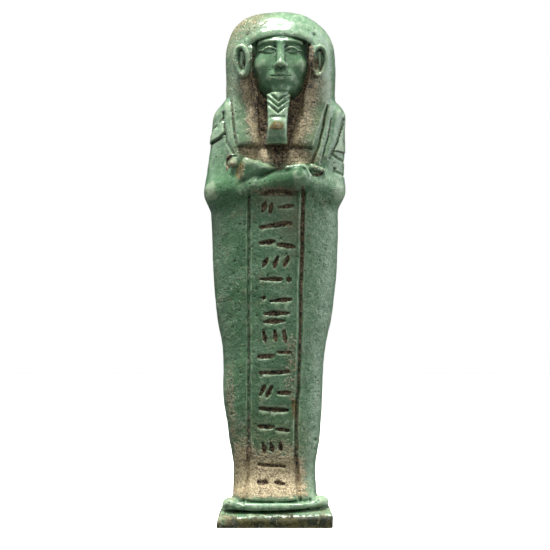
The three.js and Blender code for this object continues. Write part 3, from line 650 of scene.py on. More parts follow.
def add(d, x, y, z, part, k, a=None, b=None, where=None):
    """soft union of one part with the form, worked out only where it can matter"""
    s = slice(0, len(z)) if a is None else span(z, a, b)
    if s.start >= s.stop:
        return
    if where is None:
        d[s] = smin(d[s], part(x[s], y[s], z[s]), k)
        return
    i = np.flatnonzero(where(x[s], y[s], z[s])) + s.start
    if i.size:
        d[i] = smin(d[i], part(x[i], y[i], z[i]), k)


def shape(x, y, z):
    """the whole figure, negative inside; z is sorted"""
    d = body(x, y, z)
    s = span(z, 111.0, 130.0)
    d[s] = smax(d[s], z[s] - 112.0, 1.0)
    add(d, x, y, z, feet, 2.6, -3, 22)
    add(d, x, y, z, pillar, 0.9, -3, 101, lambda x, y, z: y > -2)
    add(d, x, y, z, arms, 2.2, 66, 103)
    i = np.flatnonzero(y < 1.5)
    if i.size:
        front = relief(x[i], z[i]) * (1 - smooth(-3.0, 0.8, y[i]))
        head = 1 - smooth(99.5, 103.0, z[i])
        d[i] -= front * head
    add(d, x, y, z, plinth, 0.35, -3, 8)
    add(d, x, y, z, hands, 0.3, 70, 90, lambda x, y, z: y < -4)
    # hollows round the ends of the handles
    s = span(z, 78.0, 88.0)
    i = np.flatnonzero(y[s] < -5) + s.start
    if i.size:
        for cx, cz, r, turn in ((-9.55, 83.35, 1.5, 2.6), (9.6, 81.9, 1.65, -1.5)):
            q = np.hypot(x[i] - cx, z[i] - cz)
            toward = np.cos(np.arctan2(z[i] - cz, x[i] - cx) - turn)
            d[i] += 0.42 * bell(np.abs(q - r), 0.42) * smooth(-0.3, 0.5, toward)
        q = np.abs(np.hypot(x[i] - 5.2, (z[i] - 79.6)) - 2.35)
        turn = np.arctan2(z[i] - 79.6, x[i] - 5.2)
        d[i] += 0.12 * bell(q, 0.5) * smooth(-0.4, 0.3, turn) * (1 - smooth(1.5, 2.3, turn)) * (y[i] < -8)
    add(d, x, y, z, wig, 0.55, 84, 130)
    add(d, x, y, z, face, 0.25, 92, 116, lambda x, y, z: (y < 0) & (np.abs(x - FACE_X) < 8))
    add(d, x, y, z, ear, 0.22, 100, 114, lambda x, y, z: (y < -3) & (y > -13) & (np.abs(np.abs(x - FACE_X) - 8.5) < 4))
    add(d, x, y, z, beard, 0.28, 85, 102, lambda x, y, z: (y < -2) & (np.abs(x - 0.9) < 5))
    # grooves over the feet
    s = span(z, 2.4, 7.0)
    i = np.flatnonzero(y[s] < -6) + s.start
    if i.size:
        d[i] += 0.32 * bell(z[i] - junction(x[i]), 0.5)
        d[i] += 0.3 * bell(z[i] - 5.55 - 0.004 * x[i] ** 2, 0.45) * (1 - smooth(5.5, 8.5, np.abs(x[i])))
    # the hand-made unevenness of a pressed and glazed piece, none under the plinth
    rise = smooth(0.0, 2.5, z)
    calm = 1 - 0.75 * bell(np.hypot(x - FACE_X, (z - 106.5) * 0.85), 8.0) * (y < -5)
    uneven = 0.16 * slow_wave(x, y, z) + 0.085 * hand_wave(x, y, z) * calm + 0.03 * skin_wave(x, y, z) * calm
    d = d + (uneven * rise).astype(F)
    return np.maximum(d, -z)


def evaluate(x, y, z, size=160_000):
    """shape() over any points, in slices of rising z"""
    order = None
    if np.any(np.diff(z) < 0):
        order = np.argsort(z, kind="stable")
        x, y, z = x[order], y[order], z[order]
    out = np.empty(len(z), F)
    for a in range(0, len(z), size):
        b = a + size
        out[a:b] = shape(x[a:b], y[a:b], z[a:b])
    if order is None:
        return out
    back = np.empty_like(out)
    back[order] = out
    return back


# ------------------------------------------------------------------ the mesh
def axis(stretches, stretch=1.0):
    """grid lines with their own spacing along each stretch"""
    lines = []
    for a, b, step in stretches:
        n = max(1, round((b - a) / (step * stretch)))
        lines.extend(np.linspace(a, b, n, endpoint=False))
    lines.append(stretches[-1][1])
    return np.array(lines, F)


def net(coarse=1.0):
    """Surface net of the form on a grid with uneven spacing: vertices and quads."""
    xs = axis([(-17.9, -12.4, 0.27), (-12.4, -8.8, 0.19), (-8.8, 10.8, 0.135), (10.8, 13.8, 0.19), (13.8, 18.1, 0.27)], coarse)
    ys = axis([(-14.8, -7.2, 0.135), (-7.2, -3.5, 0.21), (-3.5, 11.0, 0.32)], coarse)
    zs = axis([(-0.8, 8.0, 0.19), (8.0, 76.0, 0.2), (76.0, 114.0, 0.135), (114.0, 121.2, 0.19)], coarse)
    step = 6
    pad = lambda v: np.concatenate([v, v[-1] + (v[-1] - v[-2]) * np.arange(1, (-(len(v) - 1)) % step + 1, dtype=F)])
    xs, ys, zs = pad(xs), pad(ys), pad(zs)
    cz, cy, cx = zs[::step], ys[::step], xs[::step]
    gz, gy, gx = np.meshgrid(cz, cy, cx, indexing="ij")
    far = evaluate(gx.ravel(), gy.ravel(), gz.ravel()).reshape(gz.shape)
    corners = [far[i: far.shape[0] - 1 + i, j: far.shape[1] - 1 + j, k: far.shape[2] - 1 + k]
               for i in (0, 1) for j in (0, 1) for k in (0, 1)]
    low, high = np.minimum.reduce(corners), np.maximum.reduce(corners)
    reach = 0.5 * np.sqrt(
        np.diff(cz)[:, None, None] ** 2 + np.diff(cy)[None, :, None] ** 2 + np.diff(cx)[None, None, :] ** 2
    ) + 0.35
    active = (low < reach) & (high > -reach)
    wanted = np.zeros((len(zs), len(ys), len(xs)), bool)
    for i in range(step + 1):
        for j in range(step + 1):
            for k in range(step + 1):
                wanted[i: i + active.shape[0] * step: step, j: j + active.shape[1] * step: step,
                       k: k + active.shape[2] * step: step][: active.shape[0], : active.shape[1], : active.shape[2]] |= active
    field = np.repeat(np.repeat(np.repeat(np.where(low > 0, F(9), F(-9)), step, 0), step, 1), step, 2)
    field = np.pad(field, ((0, 1), (0, 1), (0, 1)), mode="edge")
    at = np.flatnonzero(wanted)
    iz, iy, ix = np.unravel_index(at, wanted.shape)
    field.ravel()[at] = evaluate(xs[ix], ys[iy], zs[iz])
    inside = field < 0
    # cells with a change of sign
    n = [s - 1 for s in field.shape]
    count = np.zeros(n, np.uint8)
    for i in (0, 1):
        for j in (0, 1):
            for k in (0, 1):
                count += inside[i: i + n[0], j: j + n[1], k: k + n[2]]
    cell = np.flatnonzero((count > 0) & (count < 8))
    a, b, c = np.unravel_index(cell, n)
    total = np.zeros((len(cell), 3))
    hits = np.zeros(len(cell))
    grids = (zs.astype(float), ys.astype(float), xs.astype(float))
    for ax in range(3):
        others = [o for o in range(3) if o != ax]
        for p in (0, 1):
            for q in (0, 1):
                lo = [a, b, c]
                lo[others[0]] = lo[others[0]] + p
                lo[others[1]] = lo[others[1]] + q
                hi = list(lo)
                hi[ax] = hi[ax] + 1
                v0 = field[lo[0], lo[1], lo[2]].astype(float)
                v1 = field[hi[0], hi[1], hi[2]].astype(float)
                cross = (v0 < 0) != (v1 < 0)
                t = np.where(cross, v0 / np.where(cross, v0 - v1, 1.0), 0.0)
                for o in range(3):
                    g0, g1 = grids[o][lo[o]], grids[o][hi[o]]
                    total[:, o] += np.where(cross, g0 + (g1 - g0) * t, 0.0)
                hits += cross
    points = (total / hits[:, None])[:, ::-1]  # x, y, z
    number = np.full(n, -1, np.int32)
    number.ravel()[cell] = np.arange(len(cell), dtype=np.int32)
    quads = []
    for ax in range(3):
        others = [o for o in range(3) if o != ax]
        size = [field.shape[o] for o in range(3)]
        first = [slice(1, s - 1) for s in size]
        first[ax] = slice(0, size[ax] - 1)
        second = list(first)
        second[ax] = slice(1, size[ax])
        s0, s1 = inside[tuple(first)], inside[tuple(second)]
        change = np.flatnonzero(s0 != s1)
        idx = list(np.unravel_index(change, s0.shape))
        for o in others:
            idx[o] = idx[o] + 1
        leaving = s0.ravel()[change]  # inside at the lower end: the face looks up the axis
        ring = []
        for p, q in ((0, 0), (1, 0), (1, 1), (0, 1)):
            at = list(idx)
            at[others[0]] = at[others[0]] - 1 + p
            at[others[1]] = at[others[1]] - 1 + q
            ring.append(number[at[0], at[1], at[2]])
        ring = np.stack(ring, 1)
        # (z, y, x) axes: the turn that faces up the axis alternates between them
        flip = leaving if ax in (0, 2) else ~leaving
        ring = np.where(flip[:, None], ring[:, ::-1], ring)
        quads.append(ring)
    return points.astype(F), np.concatenate(quads)


def slope_of(p, e=0.02):
    x, y, z = (np.ascontiguousarray(p[:, i]) for i in range(3))
    g = np.empty_like(p)
    g[:, 0] = evaluate(x + F(e), y, z) - evaluate(x - F(e), y, z)
    g[:, 1] = evaluate(x, y + F(e), z) - evaluate(x, y - F(e), z)
    g[:, 2] = evaluate(x, y, z + F(e)) - evaluate(x, y, z - F(e))
    return g / (2 * e)


def settle(p):
    """one step along the slope, back onto the form"""
    d = evaluate(*(np.ascontiguousarray(p[:, i]) for i in range(3)))
    g = slope_of(p)
    n = np.maximum((g * g).sum(1), 0.25)
    step = np.clip(d / n, -0.12, 0.12)
    return p - g * step[:, None]


import time

_t0 = time.perf_counter()
points, quads = net(1.0)
print("net", len(points), "points", len(quads), "quads", round(time.perf_counter() - _t0, 1), "s", flush=True)


def make_object(name, p, faces):
    mesh = bpy.data.meshes.new(name)
    mesh.vertices.add(len(p))
    mesh.vertices.foreach_set("co", np.ascontiguousarray(p, F).ravel())
    mesh.loops.add(faces.size)
    mesh.loops.foreach_set("vertex_index", faces.astype(np.int32).ravel())
    mesh.polygons.add(len(faces))
    mesh.polygons.foreach_set("loop_start", np.arange(0, faces.size, faces.shape[1], dtype=np.int32))
    mesh.update(calc_edges=True)
    mesh.validate()
    obj = bpy.data.objects.new(name, mesh)
    bpy.context.scene.collection.objects.link(obj)
    return obj


figure = make_object("faience_figure", points, quads)
LIMIT = 196_000
triangles = 2 * len(quads)
if triangles > LIMIT:
    thin = figure.modifiers.new("thin", "DECIMATE")
    thin.ratio = LIMIT / triangles
    bpy.context.view_layer.objects.active = figure
    figure.select_set(True)
    bpy.ops.object.modifier_apply(modifier=thin.name)
print("thinned", len(figure.data.vertices), len(figure.data.polygons), round(time.perf_counter() - _t0, 1), "s", flush=True)

mesh = figure.data
co = np.empty(len(mesh.vertices) * 3, F)
mesh.vertices.foreach_get("co", co)
co = co.reshape(-1, 3)
# stand the form on the CAD node: same base, same middle
lo, hi = co.min(0), co.max(0)
node_mid = [(NODE_LO[i] + NODE_HI[i]) / 2 / MM for i in range(2)]
shift = np.array([node_mid[0] - (lo[0] + hi[0]) / 2, node_mid[1] - (lo[1] + hi[1]) / 2, NODE_LO[2] / MM - lo[2]], F)
print("form box", lo, hi, "shift", shift, flush=True)

# ------------------------------------------------------------------ masks for the material
normal = np.empty(len(mesh.vertices) * 3, F)
mesh.vertices.foreach_get("normal", normal)
normal = normal.reshape(-1, 3)


pairs = np.empty(len(mesh.edges) * 2, np.int32)
mesh.edges.foreach_get("vertices", pairs)
pairs = pairs.reshape(-1, 2)
valence = np.bincount(pairs.ravel(), minlength=len(co)).astype(F)


def spread(values, rounds):
    """average over the neighbours along the edges, a number of times"""
    v = values.astype(float)
    for _ in range(rounds):
        v = 0.5 * v + 0.5 * (
            np.bincount(pairs[:, 0], v[pairs[:, 1]], len(v)) + np.bincount(pairs[:, 1], v[pairs[:, 0]], len(v))
        ) / valence
    return v.astype(F)


def sunk(rounds):
    """how far the surface lies below the mean of its surroundings, in millimetres"""
    mean = np.stack([spread(co[:, i], rounds) for i in range(3)], 1)
    return ((mean - co) * normal).sum(1)


near, wide = sunk(14), sunk(110)
print("near", np.percentile(near, [1, 10, 50, 90, 99]), "wide", np.percentile(wide, [1, 10, 50, 90, 99]), flush=True)
cavity = smooth(0.015, 0.11, near)
hollow = smooth(0.04, 0.5, wide)
edge = smooth(0.012, 0.1, -near)

X, Y, Z = co[:, 0], co[:, 1], co[:, 2]
frontal = smooth(0.5, -4.0, Y)
blotch = waves(5, 3.1, 7)(X, Y, Z)
blotch_fine = waves(6, 1.1, 8)(X, Y, Z)
ragged = 0.5 * blotch + 0.35 * blotch_fine


def patch(x, z, rx, rz, turn=0.0, soft=0.45):
    """a ragged soft-edged ellipse in the front plane"""
    c, s = math.cos(math.radians(turn)), math.sin(math.radians(turn))
    u, v = (X - x) * c + (Z - z) * s, -(X - x) * s + (Z - z) * c
    q = np.sqrt((u / rx) ** 2 + (v / rz) ** 2) + 0.16 * ragged
    return (1 - smooth(1 - soft, 1 + soft, q)) * frontal


def cover(part, margin=0.16, soft=0.14):
    """1 where the surface belongs to a part"""
    return 1 - smooth(margin - soft, margin + soft, part(X, Y, Z))


on_face = cover(face) * (Z > 96) * (Z < 114) * (Y < -4)
on_beard = cover(beard) * (Z > 86) * (Z < 100.5) * (Y < -9.6)
on_ear = cover(ear, 0.22) * (Z > 101) * (Y < -4)
clean = np.clip(on_face + on_beard, 0, 1)

left_in, right_in = edge_x("left_in", Z), edge_x("right_in", Z)
neck = smooth(85.6, 87.4, Z) * (1 - smooth(101.5, 105.0, Z)) * frontal
wob = 0.55 * ragged

# soil and painted shade: 1 in the deepest dirt and shade, falling off slowly; the shader breaks it up
left_soil = smooth(left_in - 1.9, left_in + 0.6, X + wob) * (X < 1.5)
right_soil = smooth(1.5, 2.4, X) * (1 - smooth(right_in - 1.0, right_in + 2.8, X + wob))
soil_and_painted_shade = neck * np.maximum(0.86 * left_soil, 1.0 * right_soil)
# beside the right ear, and in the groove between the left ear and the face
soil_and_painted_shade = np.maximum(soil_and_painted_shade, 0.95 * patch(8.3, 106.6, 1.5, 4.6, 4, 0.5) * (1 - 0.75 * on_ear * smooth(8.9, 9.6, X)))
soil_and_painted_shade = np.maximum(soil_and_painted_shade, 0.85 * patch(6.9, 101.8, 2.2, 2.8, -20, 0.5))
soil_and_painted_shade = np.maximum(soil_and_painted_shade, 0.8 * patch(-4.9, 102.0, 0.9, 3.2, 8, 0.5))
soil_and_painted_shade = np.maximum(soil_and_painted_shade, 0.55 * patch(-5.3, 106.8, 0.7, 2.6, 0, 0.5))
# painted shade and dirt: the dark line under the feet of the lappets and the beard's shadow in the middle are painted
# as soil, with dirt between the handles and the hands
under = bell(Z - 86.7 + 0.2 * ragged, 0.85) * smooth(-8.6, -6.6, X) * (1 - smooth(7.2, 9.4, X)) * frontal
soil_and_painted_shade = np.maximum(soil_and_painted_shade, (0.55 + 0.45 * bell(X - 2.6, 5.0)) * under)
soil_and_painted_shade = np.maximum(soil_and_painted_shade, 0.95 * patch(1.2, 85.2, 2.1, 3.2, -10, 0.5) * (Y > -10.9))
soil_and_painted_shade = np.maximum(soil_and_painted_shade, 0.3 * patch(-4.6, 84.9, 3.6, 1.6, -12, 0.4) * (Y > -10.4))
soil_and_painted_shade = np.maximum(soil_and_painted_shade, 0.4 * patch(5.4, 84.9, 3.6, 1.5, -8, 0.4) * (Y > -10.6))
soil_and_painted_shade = np.maximum(soil_and_painted_shade, 0.9 * patch(-10.6, 84.7, 0.9, 0.55, 0, 0.5))
soil_and_painted_shade = np.maximum(soil_and_painted_shade, 0.9 * patch(-10.9, 82.4, 0.45, 1.0, 0, 0.5))
soil_and_painted_shade = np.maximum(soil_and_painted_shade, 0.7 * patch(10.0, 80.5, 1.6, 0.5, 12, 0.5))
soil_and_painted_shade = soil_and_painted_shade * (1 - clean)
# darker in the creases on the upper front: dirt and painted shade
soil_and_painted_shade = np.maximum(soil_and_painted_shade, 0.62 * smooth(0.25, 0.85, cavity) * frontal * smooth(76.5, 82, Z) * (1 - 0.7 * on_face))
# in the strokes and the borders of the panel
ink = np.zeros_like(X)
for ax, az, bx, bz, half, deep in STROKES:
    ink = np.maximum(ink, mark(X, Z, (ax, az, bx, bz, half, deep)) ** 0.6)
row_dirt = np.interp(Z, [5, 9, 17, 22, 28, 40, 47, 60, 78], [0.9, 0.95, 1.0, 0.75, 0.8, 1.0, 0.85, 1.0, 1.0])
panel = smooth(4.5, 7.0, Z) * (1 - smooth(77.0, 78.5, Z)) * (np.abs(X) < 9) * frontal
soil_and_painted_shade = np.maximum(soil_and_painted_shade, panel * row_dirt * smooth(0.1, 0.75, ink))
right_line = np.interp(Z, [p[1] for p in BORDER_RIGHT[::-1]], [p[0] for p in BORDER_RIGHT[::-1]])
left_line = np.interp(Z, [p[1] for p in BORDER_LEFT[::-1]], [p[0] for p in BORDER_LEFT[::-1]])
right_dirt = np.interp(Z, [5, 8, 14, 22, 34, 50, 76], [0.3, 0.5, 0.8, 0.6, 0.62, 0.85, 1.0])
right_wide = np.interp(Z, [5, 20, 45, 60, 76], [0.5, 0.45, 0.5, 0.72, 0.75])
soil_and_painted_shade = np.maximum(soil_and_painted_shade, panel * right_dirt * bell((X - right_line) / right_wide, 1.0) ** 0.6)
soil_and_painted_shade = np.maximum(soil_and_painted_shade, panel * 0.42 * bell(X - left_line, 0.4) ** 0.6)
arc = np.abs(np.hypot((X - 0.7) / 1.15, Z - 72.6) - 4.1)
soil_and_painted_shade = np.maximum(soil_and_painted_shade, 0.8 * bell(arc, 1.0) * smooth(75.0, 75.9, Z) * frontal * (Z < 78.2))
for cx, cz, wide_r, tall_r in ((4.5, 26.9, 0.65, 3.0),):
    filled = patch(cx, cz, wide_r, tall_r, 0, 0.35)
soil_and_painted_shade = np.maximum(soil_and_painted_shade, 0.62 * patch(-6.0, 17.5, 0.8, 6.0, 0, 0.5))
soil_and_painted_shade = np.maximum(soil_and_painted_shade, 0.6 * patch(5.0, 14.0, 0.9, 5.0, 0, 0.5))
soil_and_painted_shade = np.maximum(soil_and_painted_shade, 0.45 * patch(-2.0, 15.5, 4.5, 1.4, 0, 0.5))
# the inside of the right ear
ear_in = bell(np.hypot((X - 9.9) / 1.5, (Z - 106.6) / 3.2), 1.0) ** 0.5 * (Z > 102) * (Y < -5)
soil_and_painted_shade = np.maximum(soil_and_painted_shade, 0.62 * ear_in * (1 - edge))
soil_and_painted_shade = np.clip(soil_and_painted_shade * (1 - 0.8 * filled), 0, 1)

# tan: worn glaze with the buff core showing
tan = neck * np.maximum(
    0.95 * smooth(left_in - 4.0, left_in - 0.9, X + wob) * (X < 1.5),
    0.8 * smooth(1.5, 2.4, X) * (1 - smooth(right_in + 1.0, right_in + 6.0, X + wob)),
)
tan = np.maximum(tan, 0.85 * patch(0.5, 85.2, 8.9, 2.4, -6, 0.3) * (Y > -11.0))
tan = tan * (1 - clean)
tan = np.maximum(tan, 0.4 * patch(-7.5, 81.0, 1.0, 3.2, -12))
tan = np.maximum(tan, 0.45 * patch(-9.8, 83.3, 1.6, 1.4))
tan = np.maximum(tan, 0.4 * patch(9.8, 81.5, 1.8, 1.3))
tan = np.maximum(tan, 0.7 * patch(0.6, 76.4, 5.2, 1.0))
tan = np.maximum(tan, 0.35 * patch(3.8, 70.5, 2.4, 4.8))
tan = np.maximum(tan, 0.45 * patch(3.9, 36.0, 1.6, 9.0))
low = smooth(22.5, 11.5, Z + 1.8 * ragged + 0.05 * np.maximum(X - 3, 0) ** 2 - 2.2 * bell(X + 7.5, 3.0))
low = low * smooth(5.4, 7.6, Z + 0.5 * ragged) * frontal * (1 - 0.9 * smooth(5.4, 9.2, X + wob))
tan = np.maximum(tan, low)
tan = np.maximum(tan, 0.5 * patch(-10.4, 24.0, 1.4, 13.0, 0, 0.5))
tan = np.maximum(tan, 0.52 * patch(-9.0, 117.0, 7.0, 4.5, 30, 0.6) * (Z > 104))
tan = np.maximum(tan, 0.34 * smooth(-4.0, -11.0, X) * smooth(98.0, 101.0, Z))
tan = np.maximum(tan, 0.55 * patch(-11.2, 2.1, 2.6, 1.5, 10, 0.5))
tan = np.maximum(tan, 0.3 * smooth(3.6, 2.9, Z - 0.028 * X) * smooth(2.0, 2.5, Z - 0.028 * X))
tan = np.clip(tan, 0, 1)
stain = neck * np.maximum(
    0.55 * smooth(left_in - 6.0, left_in - 1.0, X + wob) * (X < 1.5),
    1.0 * smooth(1.5, 2.4, X) * (1 - smooth(right_in + 1.5, right_in + 8.0, X + wob)),
) * (1 - clean)
stain = np.maximum(stain, 0.8 * patch(5.5, 101.5, 5.0, 6.5, -10, 0.6) * (1 - clean) * (X > 2))
stain = np.maximum(stain, 0.75 * patch(0.5, 85.2, 9.6, 3.0, -6, 0.4) * (Y > -11.0) * (1 - clean))
stain = np.maximum(stain, 0.35 * smooth(30, 16, Z) * smooth(5.6, 8.0, Z) * frontal * (1 - 0.8 * smooth(6.0, 10.0, X)))
stain = np.maximum(stain, 0.55 * patch(-8.0, 117.5, 8.0, 4.5, 30, 0.6) * (Z > 104))
stain = np.maximum(stain, 0.4 * patch(0.4, 74.8, 5.4, 3.2, 0, 0.6))
stain = np.maximum(stain, 0.3 * patch(3.9, 68.0, 3.2, 7.0, 0, 0.6))
# specks of dirt over the buff part, and a few on the left of the body
soil_and_painted_shade = np.maximum(soil_and_painted_shade, 0.4 * low * smooth(9.5, 15.0, Z))
soil_and_painted_shade = np.maximum(soil_and_painted_shade, 0.16 * smooth(-5.5, -8.5, X) * (1 - smooth(70, 78, Z)) * smooth(6, 12, Z) * frontal)
# amber-brown wear: the edge of the beard, the wedge's end, the plinth's corners
amber = 0.9 * patch(0.55, 91.2, 1.9, 1.15, 0, 0.5) * on_beard
amber = np.maximum(amber, 0.7 * patch(-8.0, 81.0, 1.0, 3.0, -12, 0.5))
amber = np.maximum(amber, 0.4 * patch(-12.6, 1.6, 1.6, 2.0, 0, 0.6))
amber = np.maximum(amber, 0.6 * smooth(0.9, 0.1, Z + 0.3 * ragged) * frontal)
amber = np.maximum(amber, 0.75 * filled)
amber = np.clip(amber, 0, 1)

olive = np.maximum(smooth(2.75, 2.15, Z - 0.028 * X), 0.56 * smooth(0.3, -0.3, Z - junction(X))) * (Z < 5)
olive = olive * (1 - 0.45 * patch(-11.6, 1.9, 2.2, 1.6, 0, 0.6))
# glassy where the glaze ran thick, duller and sandier down the body
gloss = np.maximum(smooth(73.5, 79.0, Z), smooth(8.0, 6.5, Z))
gloss = np.maximum(gloss, 0.45 * smooth(-2.0, 4.0, X) * smooth(11.0, 7.0, X))
gloss = gloss * (1 - 0.45 * smooth(9.0, 12.0, X) * smooth(96, 84, Z) * (Z > 70))
gloss = np.clip(np.maximum(gloss, clean), 0, 1)
# paler glaze, partly thin glaze and partly painted light: the top of the wig, the right side where the light comes
# from, the upper front, the feet's roll and the beard are painted lighter
pale_glaze_and_painted_light = np.clip(0.6 * smooth(106, 116, Z) + 0.6 * smooth(3.0, 11.0, X) * smooth(5.0, -4.0, Y), 0, 1)
pale_glaze_and_painted_light = np.maximum(pale_glaze_and_painted_light, 0.72 * smooth(78.0, 92.0, Z) * frontal)
pale_glaze_and_painted_light = np.maximum(pale_glaze_and_painted_light, 0.6 * smooth(3.6, 4.6, Z) * smooth(7.5, 6.0, Z))
pale_glaze_and_painted_light = np.maximum(pale_glaze_and_painted_light, 0.85 * smooth(3.5, 9.0, X) * smooth(72, 40, Z) * frontal)
pale_glaze_and_painted_light = np.maximum(pale_glaze_and_painted_light * (1 - 0.85 * on_face), 0.55 * on_beard)

for name, values in (("soil_and_painted_shade", soil_and_painted_shade), ("tan", tan), ("olive", olive), ("pale_glaze_and_painted_light", pale_glaze_and_painted_light),
                     ("cavity", cavity), ("hollow", hollow), ("rim", edge), ("amber", amber), ("gloss", gloss), ("stain", stain)):
    layer = mesh.attributes.new(name, "FLOAT", "POINT")
    layer.data.foreach_set("value", np.ascontiguousarray(values, F))

co = (co + shift) * F(MM)
mesh.vertices.foreach_set("co", np.ascontiguousarray(co, F).ravel())
mesh.polygons.foreach_set("use_smooth", np.ones(len(mesh.polygons), bool))
mesh.update()
print("masks", round(time.perf_counter() - _t0, 1), "s", flush=True)


# ------------------------------------------------------------------ the faience
class Nodes:
    """a few short words for building a material"""

    def __init__(self, name):
        self.material = bpy.data.materials.new(name)
        self.material.use_nodes = True
        self.tree = self.material.node_tree
        self.tree.nodes.clear()
        self.place = self.new("ShaderNodeTexCoord").outputs["Object"]

    def new(self, kind, **props):
        node = self.tree.nodes.new(kind)
        for key, value in props.items():
            setattr(node, key, value)
        return node

    def put(self, socket, value):
        if hasattr(value, "is_output"):
            self.tree.links.new(value, socket)
        else:
            socket.default_value = value

    def noise(self, wavelength, detail=2.0, rough=0.5, warp=0.0, at=None):
        n = self.new("ShaderNodeTexNoise")
        self.put(n.inputs["Vector"], at or self.place)
        n.inputs["Scale"].default_value = 1 / (wavelength * MM)
        n.inputs["Detail"].default_value = detail
        n.inputs["Roughness"].default_value = rough
        n.inputs["Distortion"].default_value = warp
        return n.outputs["Fac"]

    def cells(self, wavelength, feature="F1", at=None):
        n = self.new("ShaderNodeTexVoronoi", feature=feature)
        self.put(n.inputs["Vector"], at or self.place)
        n.inputs["Scale"].default_value = 1 / (wavelength * MM)
        return n

    def attribute(self, name):
        return self.new("ShaderNodeAttribute", attribute_name=name).outputs["Fac"]

    def math(self, kind, a, b=0.0, c=0.0, clamp=False):
        n = self.new("ShaderNodeMath", operation=kind, use_clamp=clamp)
        for socket, value in zip(n.inputs, (a, b, c)):
            self.put(socket, value)
        return n.outputs[0]

    def ramp(self, value, a, b, lo=0.0, hi=1.0, kind="SMOOTHSTEP"):
        n = self.new("ShaderNodeMapRange", interpolation_type=kind)
        self.put(n.inputs["Value"], value)
        n.inputs["From Min"].default_value, n.inputs["From Max"].default_value = a, b
        n.inputs["To Min"].default_value, n.inputs["To Max"].default_value = lo, hi
        return n.outputs["Result"]

    def mix(self, factor, a, b, blend="MIX"):
        n = self.new("ShaderNodeMix", data_type="RGBA", blend_type=blend, clamp_factor=True)
        self.put(n.inputs["Factor"], factor)
        self.put(n.inputs["A"], a)
        self.put(n.inputs["B"], b)
        return n.outputs["Result"]


def rgb(r, g, b):
    """an sRGB colour in 0-255 as the linear colour that the shader takes"""
    lin = [((v / 255 + 0.055) / 1.055) ** 2.4 if v > 10 else v / 255 / 12.92 for v in (r, g, b)]
    return (*lin, 1.0)


